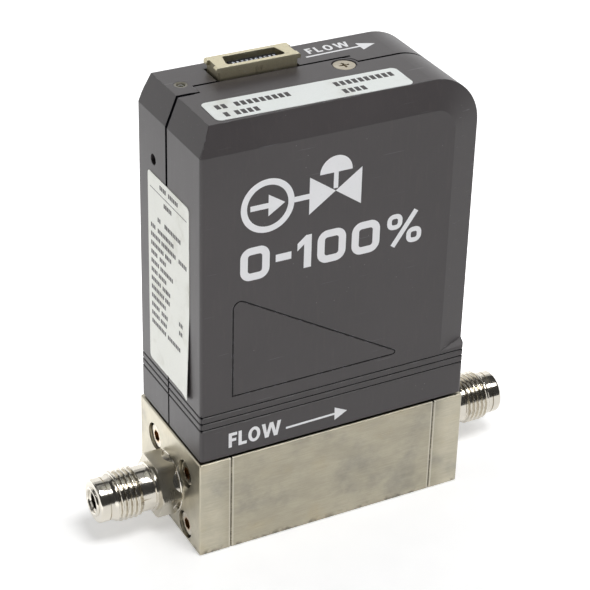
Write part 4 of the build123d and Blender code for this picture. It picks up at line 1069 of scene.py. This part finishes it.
@dataclass
class Print:
    """Flat shapes of ink on a sheet."""

    sheet: Sheet
    foot: float = 0.0
    thickness: float = 0.02
    shapes: list[list[Point]] = field(default_factory=list)

    def shape(self, outline: Sequence[Point]) -> None:
        """Adds a filled outline, counterclockwise."""
        self.shapes.append(list(outline))

    def bar(self, start: Point, end: Point, weight: float) -> None:
        """Adds a straight bar.

        Args:
            start: one end of its middle line.
            end: the other end.
            weight: its width.
        """
        (x0, y0), (x1, y1) = start, end
        length = math.hypot(x1 - x0, y1 - y0)
        dx, dy = -(y1 - y0) / length * weight / 2, (x1 - x0) / length * weight / 2
        self.shape([(x0 - dx, y0 - dy), (x1 - dx, y1 - dy), (x1 + dx, y1 + dy), (x0 + dx, y0 + dy)])

    def ring(self, centre: Point, radii: Point, weight: float, steps: int = 48) -> None:
        """Adds an oval ring.

        Args:
            centre: its centre.
            radii: its outer half width and half height.
            weight: the ring's width.
            steps: how many facets it has.
        """
        def rim(turn: float, inset: float) -> Point:
            """A point of the rim drawn in by inset."""
            return (centre[0] + (radii[0] - inset) * math.cos(turn),
                    centre[1] + (radii[1] - inset) * math.sin(turn))

        for step in range(steps):
            first, second = math.tau * step / steps, math.tau * (step + 1) / steps
            self.shape([rim(first, weight), rim(first, 0), rim(second, 0), rim(second, weight)])

    def line_of_blocks(self, start: Point, end: float, block: Point, gap: float) -> None:
        """Adds a row of small blocks, which stands for a word.

        Args:
            start: the foot of its first block.
            end: where it ends.
            block: a block's width and height.
            gap: the space between blocks.
        """
        count = max(1, round((end - start[0] + gap) / (block[0] + gap)))
        for step in range(count):
            left, foot = start[0] + step * (block[0] + gap), start[1]
            right, top = left + block[0], foot + block[1]
            self.shape([(left, foot), (right, foot), (right, top), (left, top)])

    def zero(self, left: float, foot: float, size: Point, weight: float, corner: float) -> None:
        """Adds a squarish nought.

        Args:
            left: where it starts.
            foot: its base line.
            size: its width and height.
            weight: its stroke's width.
            corner: its outer corners' radius.
        """
        def rim(inset: float) -> list[Point]:
            """The nought's outline, drawn in by inset."""
            radius = corner - inset
            points = []
            for quarter, (right, top) in enumerate(((1, 1), (0, 1), (0, 0), (1, 0))):
                x = left + (size[0] - corner if right else corner)
                y = foot + (size[1] - corner if top else corner)
                for step in range(9):
                    turn = math.pi / 2 * (quarter + step / 8)
                    points.append((x + radius * math.cos(turn), y + radius * math.sin(turn)))
            return points

        outer, inner = rim(0.0), rim(weight)
        for step in range(len(outer)):
            after = (step + 1) % len(outer)
            self.shape([inner[step], outer[step], outer[after], inner[after]])

    def arrow(self, start: Point, tip: Point, weight: float, head: Point) -> None:
        """Adds an arrow.

        Args:
            start: where its shaft starts.
            tip: its tip.
            weight: the shaft's width.
            head: the head's length and width.
        """
        reach = Vector((tip[0] - start[0], tip[1] - start[1]))
        along = reach.normalized()
        aside = Vector((-along.y, along.x)) * head[1] / 2
        neck = Vector(tip) - along * head[0]
        self.bar(start, tuple(neck), weight)
        self.shape([tuple(neck - aside), tip, tuple(neck + aside)])

    def word(self, left: float, foot: float, height: float, weight: float, gap: float) -> None:
        """Adds the word FLOW in plain capitals.

        Args:
            left: where it starts.
            foot: its base line.
            height: the capitals' height.
            weight: the strokes' width.
            gap: the space between letters.
        """
        top = foot + height
        half = weight / 2
        wide = height * 0.54
        middle = foot + height * 0.5
        # F
        self.bar((left + half, foot), (left + half, top), weight)
        self.bar((left + weight, top - half), (left + wide, top - half), weight)
        self.bar((left + weight, middle), (left + wide * 0.9, middle), weight * 0.95)
        left += wide + gap
        # L
        self.bar((left + half, foot), (left + half, top), weight)
        self.bar((left + weight, foot + half), (left + wide, foot + half), weight)
        left += wide + gap
        # O
        radius = height * 0.39
        self.ring((left + radius, foot + height / 2), (radius, height / 2 + weight * 0.08), weight)
        left += 2 * radius + gap
        # W: one outline, along its top from left to right and back along its foot
        wide = height * 1.26
        third = weight * 1.1
        dip = foot + third * 1.5
        crest = top - third * 1.5
        middle = left + wide / 2
        right = left + wide
        near, far = left + wide * 0.27, right - wide * 0.27
        side = third / 2
        self.shape([(left, top), (near - side, foot), (near + side, foot), (middle, crest),
                    (far - side, foot), (far + side, foot), (right, top), (right - third, top), (far, dip),
                    (middle + side, top), (middle - side, top), (near, dip), (left + third, top)])

    def build(self, name: str, finish: Finish, slot: str) -> bpy.types.Object:
        """Makes one piece of all the shapes.

        Args:
            name: the piece's name.
            finish: the ink's finish.
            slot: the record's material slot.

        Returns:
            The piece.
        """
        mesher = Mesher()
        lift = self.sheet.normal() * self.thickness
        for outline in self.shapes:
            mesher.prism([self.sheet.at(x, y, self.foot) for x, y in outline], lift)
        return mesher.piece(name, finish, slot)


@dataclass
class Film:
    """A thin label with rounded corners, which may lift or dip."""

    sheet: Sheet
    width: float
    height: float
    corner: float
    thickness: float = 0.12
    columns: int = 48
    rows: int = 72
    lift: Callable[[float, float], float] = lambda x, y: 0.0

    def half_width(self, y: float) -> float:
        """How far the label reaches to each side at height y."""
        past = abs(y) - (self.height / 2 - self.corner)
        if past <= 0:
            return self.width / 2
        return self.width / 2 - self.corner + math.sqrt(max(self.corner ** 2 - past ** 2, 0.0))

    def levels(self) -> list[float]:
        """The heights of the rows, closer together at the rounded corners."""
        straight = self.height / 2 - self.corner
        levels = [-straight + 2 * straight * step / self.rows for step in range(self.rows + 1)]
        ends = [straight + self.corner * math.sin(math.pi / 2 * step / 8) for step in range(1, 9)]
        return [-level for level in reversed(ends)] + levels + ends

    def build(self, name: str, finish: Finish, slot: str, node: str) -> bpy.types.Object:
        """Makes the label.

        Args:
            name: the piece's name.
            finish: the film's finish.
            slot: the record's material slot.
            node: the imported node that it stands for.

        Returns:
            The piece.
        """
        mesher = Mesher()
        layers: list[list[list[int]]] = []
        for height in (0.0, self.thickness):
            layer = []
            for y in self.levels():
                reach = self.half_width(y)
                xs = [reach * (2 * step / self.columns - 1) for step in range(self.columns + 1)]
                layer.append(mesher.ring([self.sheet.at(x, y, height + self.lift(x, y)) for x in xs]))
            layers.append(layer)
        under, over = layers
        for first, second in zip(over, over[1:]):
            mesher.bridge(first, second, closed=False)
        for first, second in zip(under, under[1:]):
            mesher.bridge(second, first, closed=False)
        edge_under = self.rim(under)
        edge_over = self.rim(over)
        mesher.bridge(edge_under, edge_over)
        return mesher.piece(name, finish, slot, smooth=40.0, node=node)

    @staticmethod
    def rim(layer: list[list[int]]) -> list[int]:
        """The outer points of a layer, counterclockwise."""
        right = [row[-1] for row in layer[1:-1]]
        left = [row[0] for row in reversed(layer[1:-1])]
        return layer[0] + right + list(reversed(layer[-1])) + left


@dataclass
class Labels:
    """The data label on the inlet end, the identity label on top and the neutral print on both."""

    top_centre: Point = (-6.6, -10.8)
    top_size: Point = (54.0, 10.6)
    top_corner: float = 1.6
    top_turn: float = -1.1
    side_centre: Point = (0.2, 73.4)
    side_size: Point = (24.6, 56.2)
    side_corner: float = 1.2
    crease_depth: float = 0.07
    crease_reach: float = 0.45
    curl: float = 0.8
    curl_start: Point = (7.5, -2.0)
    curl_span: Point = (4.8, 24.0)
    curl_power: float = 1.6
    ink_gap: float = 0.004
    ink_thickness: float = 0.012
    top_block: Point = (1.2, 2.4)
    side_block: Point = (0.72, 1.25)

    def build(self) -> None:
        """Makes both labels and what is printed on them."""
        self.build_top()
        self.build_side()

    def build_top(self) -> None:
        """Makes the top label, with rows of blocks where its lines of print are."""
        turn = math.radians(self.top_turn)
        sheet = Sheet((*self.top_centre, HOUSING_TOP), (math.cos(turn), math.sin(turn), 0.0),
                      (-math.sin(turn), math.cos(turn), 0.0))
        film = Film(sheet, *self.top_size, self.top_corner, rows=24)
        film.build("top_label_film", TOP_FILM, "label_white", "top_label")
        ink = Print(sheet, film.thickness + self.ink_gap, self.ink_thickness)
        for left, foot, right in ((-24.4, 0.5, -21.0), (-19.2, 0.5, -3.6), (-24.0, -3.9, -22.9),
                                  (-21.1, -3.9, -14.4), (8.2, 0.9, 24.2), (8.4, -3.6, 14.6)):
            ink.line_of_blocks((left, foot), right, self.top_block, 0.5)
        ink.build("top_label_print", LABEL_INK, "label_white")

    def side_lift(self, x: float, y: float) -> float:
        """How far the side label stands off the housing: it dips at the seam and its free edge curls."""
        dip = -self.crease_depth * math.exp(-((x + SEAM_Y) / self.crease_reach) ** 2)
        near_edge = min(max((x - self.curl_start[0]) / self.curl_span[0], 0.0), 1.0)
        near_foot = min(max((self.curl_start[1] - y) / self.curl_span[1], 0.0), 1.0)
        return dip + self.curl * near_edge ** self.curl_power * near_foot

    def build_side(self) -> None:
        """Makes the side label, with rows of blocks for its heading and its table."""
        sheet = Sheet((-HOUSING_HALF_LENGTH, *self.side_centre), (0.0, -1.0, 0.0), (0.0, 0.0, 1.0))
        film = Film(sheet, *self.side_size, self.side_corner, lift=self.side_lift)
        film.build("side_label_film", SIDE_FILM, "label_white", "side_label")
        ink = Print(sheet, film.thickness + self.ink_gap, self.ink_thickness)
        ink.bar((-11.0, 23.9), (11.0, 23.9), 0.2)
        words = [(-5.0, 25.4, -1.2), (0.2, 25.4, 5.4), (-2.6, 21.3, 1.8), (-6.4, 15.6, -4.4),
                 (-2.2, 15.6, 7.4)]
        table = ((3.0, 9.2), (5.2, 8.6), (7.4, 3.2), (4.0, 3.6), (4.4, 8.0), (3.2, 4.4),
                 (5.6, 4.6), (7.2, 3.0), (8.4, 0.0), (4.8, 3.4), (4.2, 3.4), (8.6, 7.4))
        for row, (first, second) in enumerate(table):
            foot = 12.4 - row * 2.62
            words.append((-10.6, foot, -10.6 + first))
            if second:
                words.append((-9.4 + first, foot, -9.4 + first + second))
            if row in (1, 8, 9):
                words.append((6.2, foot, 10.8))
        for left, foot, right in words:
            ink.line_of_blocks((left, foot), right, self.side_block, 0.26)
        ink.build("side_label_print", LABEL_INK, "label_white")


@dataclass
class Markings:
    """White print on the housing: flow arrows with their word, a flow-control symbol and its range."""

    stroke: float = 2.1
    nought: Point = (8.2, 9.4)
    nought_corner: float = 2.9
    letter_gap: float = 1.7

    def build(self) -> None:
        """Makes all the print."""
        self.build_front_flow()
        self.build_top_flow()
        self.build_symbol()
        self.build_range()

    def front(self) -> Sheet:
        """The housing's front face, with x and z as on the controller."""
        return Sheet((0.0, -HOUSING_HALF_WIDTH, 0.0), (1.0, 0.0, 0.0), (0.0, 0.0, 1.0))

    def build_front_flow(self) -> None:
        """Makes the word and arrow on the housing's foot."""
        ink = Print(self.front())
        ink.word(-31.6, 32.4, 4.5, 0.94, 0.42)
        ink.arrow((-14.8, 33.75), (3.6, 34.1), 0.62, (3.8, 4.0))
        ink.build("flow_mark_front", WHITE_INK, "housing")

    def build_top_flow(self) -> None:
        """Makes the word and arrow on top."""
        ink = Print(Sheet((0.0, 0.0, HOUSING_TOP), (1.0, 0.0, 0.0), (0.0, 1.0, 0.0)))
        ink.word(4.9, 10.5, 3.2, 0.68, 0.75)
        ink.arrow((3.2, 9.0), (23.6, 9.5), 0.66, (4.6, 4.4))
        ink.build("flow_mark_top", WHITE_INK, "housing")

    def build_symbol(self) -> None:
        """Makes the symbol: a flow element in a circle, piped to a control valve."""
        ink = Print(self.front())
        axis, pipe, valve_x, reach, half, rise, dome = 101.6, 1.5, -2.4, 7.4, 5.2, 5.2, 4.6
        near, far = valve_x - reach, valve_x + reach
        ink.ring((-21.4, axis), (7.4, 7.4), 1.7, 96)
        ink.arrow((-26.2, axis), (-16.6, axis), pipe, (4.6, 6.0))
        ink.bar((-14.0, axis), (near, axis), pipe)
        ink.shape([(near, axis - half), (valve_x, axis), (near, axis + half)])
        ink.shape([(far, axis - half), (far, axis + half), (valve_x, axis)])
        ink.bar((valve_x, axis + 0.7), (valve_x, axis + rise), 1.3)
        turns = [math.pi * step / 24 for step in range(25)]
        ink.shape([(valve_x + dome * math.cos(turn), axis + rise + dome * math.sin(turn)) for turn in turns])
        ink.build("flow_control_symbol", WHITE_INK, "housing")

    def build_range(self) -> None:
        """Makes the range, from nought to a hundred percent."""
        ink = Print(self.front())
        foot, weight, gap = 81.4, self.stroke, self.letter_gap
        wide, tall = self.nought
        top = foot + tall
        left = -28.8
        ink.zero(left, foot, self.nought, weight, self.nought_corner)
        left += wide + gap
        ink.bar((left, foot + tall / 2), (left + 4.4, foot + tall / 2), weight)
        left += 4.4 + gap + 1.9
        ink.shape([(left, foot), (left + weight, foot), (left + weight, top), (left + 0.5, top),
                   (left - 1.9, top - 2.0), (left - 1.9, top - 4.1), (left, top - 2.5)])
        left += weight + gap
        for _ in range(2):
            ink.zero(left, foot, self.nought, weight, self.nought_corner)
            left += wide + gap
        left += 0.4
        small = 4.5
        for x, y in ((left, top - small), (left + 5.9, foot)):
            ink.zero(x, y, (small, small), 1.35, 1.9)
        ink.bar((left + 1.9, foot), (left + 8.5, top), 1.45)
        ink.build("range_mark", WHITE_INK, "housing")


@dataclass
class PackedNodes:
    """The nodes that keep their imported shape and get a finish."""

    finishes: Mapping[str, Finish]

    def dress(self) -> None:
        """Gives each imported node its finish."""
        for name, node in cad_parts.items():
            material = self.finishes[name].material()
            for slot in node.material_slots:
                slot.material = material
            log.info("%s: %s", name, material.name)


# ---------------------------------------------------------------- studio
class LightRole(Enum):
    """What each lamp of the studio does."""

    OVERHEAD = "overhead_softbox"
    KEY = "key_softbox"
    BACK_LOW = "back_panel_low"
    BACK_HIGH = "back_panel_high"
    CEILING = "ceiling_bounce"
    LEFT = "left_bounce"


@dataclass(frozen=True)
class Lamp:
    """A soft flat lamp that faces the object; its place and size are in metres."""

    role: LightRole
    place: Place
    size: Point
    radiance: float

    def build(self, target: Vector) -> None:
        """Hangs the lamp.

        Args:
            target: the point that it faces, in metres.
        """
        data = bpy.data.lights.new(self.role.value, "AREA")
        data.shape = "RECTANGLE"
        data.size, data.size_y = self.size
        data.energy = self.radiance * math.pi * data.size * data.size_y
        lamp = bpy.data.objects.new(self.role.value, data)
        bpy.context.scene.collection.objects.link(lamp)
        back = (Vector(self.place) - target).normalized()
        level = (Vector((1.0, 0.0, 0.0)) - back * back.x).normalized()
        turn = Matrix((level, back.cross(level), back)).transposed().to_4x4()
        lamp.matrix_world = Matrix.Translation(self.place) @ turn


@dataclass(frozen=True)
class TableTop(Finish):
    """The pale table, with a painted glow: lit from within a little, and more behind and to the left of the
    object.
    """

    near_glow: float = 0.34
    bright_glow: float = 1.05
    far_glow: float = 0.6
    behind: Point = (8.0, 40.0)
    beside: Point = (-70.0, -112.0)
    distant: Point = (110.0, 300.0)

    def paint(self, shader: Shader) -> None:
        """Adds the faint grain of its paper and the painted glow."""
        Finish.paint(self, shader)
        x, y, _ = shader.parts(shader.place())
        distance = (x * x + y * y) ** 0.5
        share = y.rise(*self.behind).highest(x.rise(*self.beside))
        glows = (self.near_glow, self.bright_glow, self.far_glow)
        near, bright, far = ((glow, glow, glow, 1.0) for glow in glows)
        glow = shader.blend(distance.rise(*self.distant), bright, far)
        # Painted glow: the table emits light, faint near the object and in front, stronger behind and to the
        # left, fading far away.
        shader.feed("Emission Color", shader.blend(share, near, glow))
        shader.feed("Emission Strength", 1.0)


@dataclass
class Studio:
    """A pale table, soft lamps and the camera."""

    eye: Place = (-0.223174, -0.406774, 0.334073)
    ahead: Place = (0.41007, 0.75771, -0.50766)
    right: Place = (0.88565, -0.46378, 0.02319)
    focal_length: float = 123.03
    sensor: float = 36.0
    clip_end: float = 20.0
    floor_size: float = 6.0
    sky: float = 0.05
    middle: Place = (0.0, 0.0, 0.05)
    lamps: tuple[Lamp, ...] = (
        Lamp(LightRole.OVERHEAD, (0.02, -0.34, 0.9), (0.3, 0.3), 15.0),
        Lamp(LightRole.KEY, (0.42, -0.46, 0.9), (0.56, 0.3), 4.2),
        Lamp(LightRole.BACK_LOW, (0.2, 1.2, 0.42), (2.8, 0.84), 1.2),
        Lamp(LightRole.BACK_HIGH, (0.15, 1.05, 1.05), (2.9, 0.5), 0.6),
        Lamp(LightRole.CEILING, (0.1, 0.1, 1.3), (1.2, 0.8), 0.35),
        Lamp(LightRole.LEFT, (-1.2, 0.1, 0.45), (0.9, 0.8), 0.6),
    )

    def build(self) -> None:
        """Sets up the camera, the table and the lamps."""
        self.add_camera()
        self.add_floor()
        for lamp in self.lamps:
            lamp.build(Vector(self.middle))
        self.add_air()

    def add_camera(self) -> None:
        """Adds the camera and makes it the scene's own."""
        data = bpy.data.cameras.new("studio_camera")
        data.sensor_width = self.sensor
        data.lens = self.focal_length
        data.clip_end = self.clip_end
        camera = bpy.data.objects.new("studio_camera", data)
        bpy.context.scene.collection.objects.link(camera)
        right = Vector(self.right).normalized()
        back = -Vector(self.ahead).normalized()
        up = back.cross(right)
        turn = Matrix((right, up, back)).transposed().to_4x4()
        camera.matrix_world = Matrix.Translation(self.eye) @ turn
        bpy.context.scene.camera = camera

    def add_floor(self) -> None:
        """Adds the plain table."""
        half = self.floor_size / 2
        mesh = bpy.data.meshes.new("table")
        mesh.from_pydata([(-half, -half, 0), (half, -half, 0), (half, half, 0), (-half, half, 0)], [],
                         [(0, 1, 2, 3)])
        finish = TableTop("table_white", (0.86, 0.86, 0.86, 1.0), 0.7, mottle=0.01, grain=0.01,
                          specular=0.2)
        mesh.materials.append(finish.material())
        table = bpy.data.objects.new("table", mesh)
        bpy.context.scene.collection.objects.link(table)

    def add_air(self) -> None:
        """Adds the even light from all round and shows colours as they are."""
        world = bpy.data.worlds.new("studio_air")
        world.use_nodes = True
        background = world.node_tree.nodes["Background"]
        background.inputs["Color"].default_value = (1.0, 1.0, 1.0, 1.0)
        background.inputs["Strength"].default_value = self.sky
        bpy.context.scene.world = world
        bpy.context.scene.view_settings.view_transform = "Standard"


def main() -> None:
    """Builds the dressed controller and its studio, in order."""
    logging.basicConfig(level=logging.INFO, format="%(name)s %(message)s")
    Studio().build()
    PackedNodes(NODE_FINISHES).dress()
    for name, side in (("inlet", -1), ("outlet", 1)):
        Fitting(name, side).build()
    ContactTips().build()
    LampBezel().build()
    Labels().build()
    Markings().build()


if __name__ == "__main__":
    main()
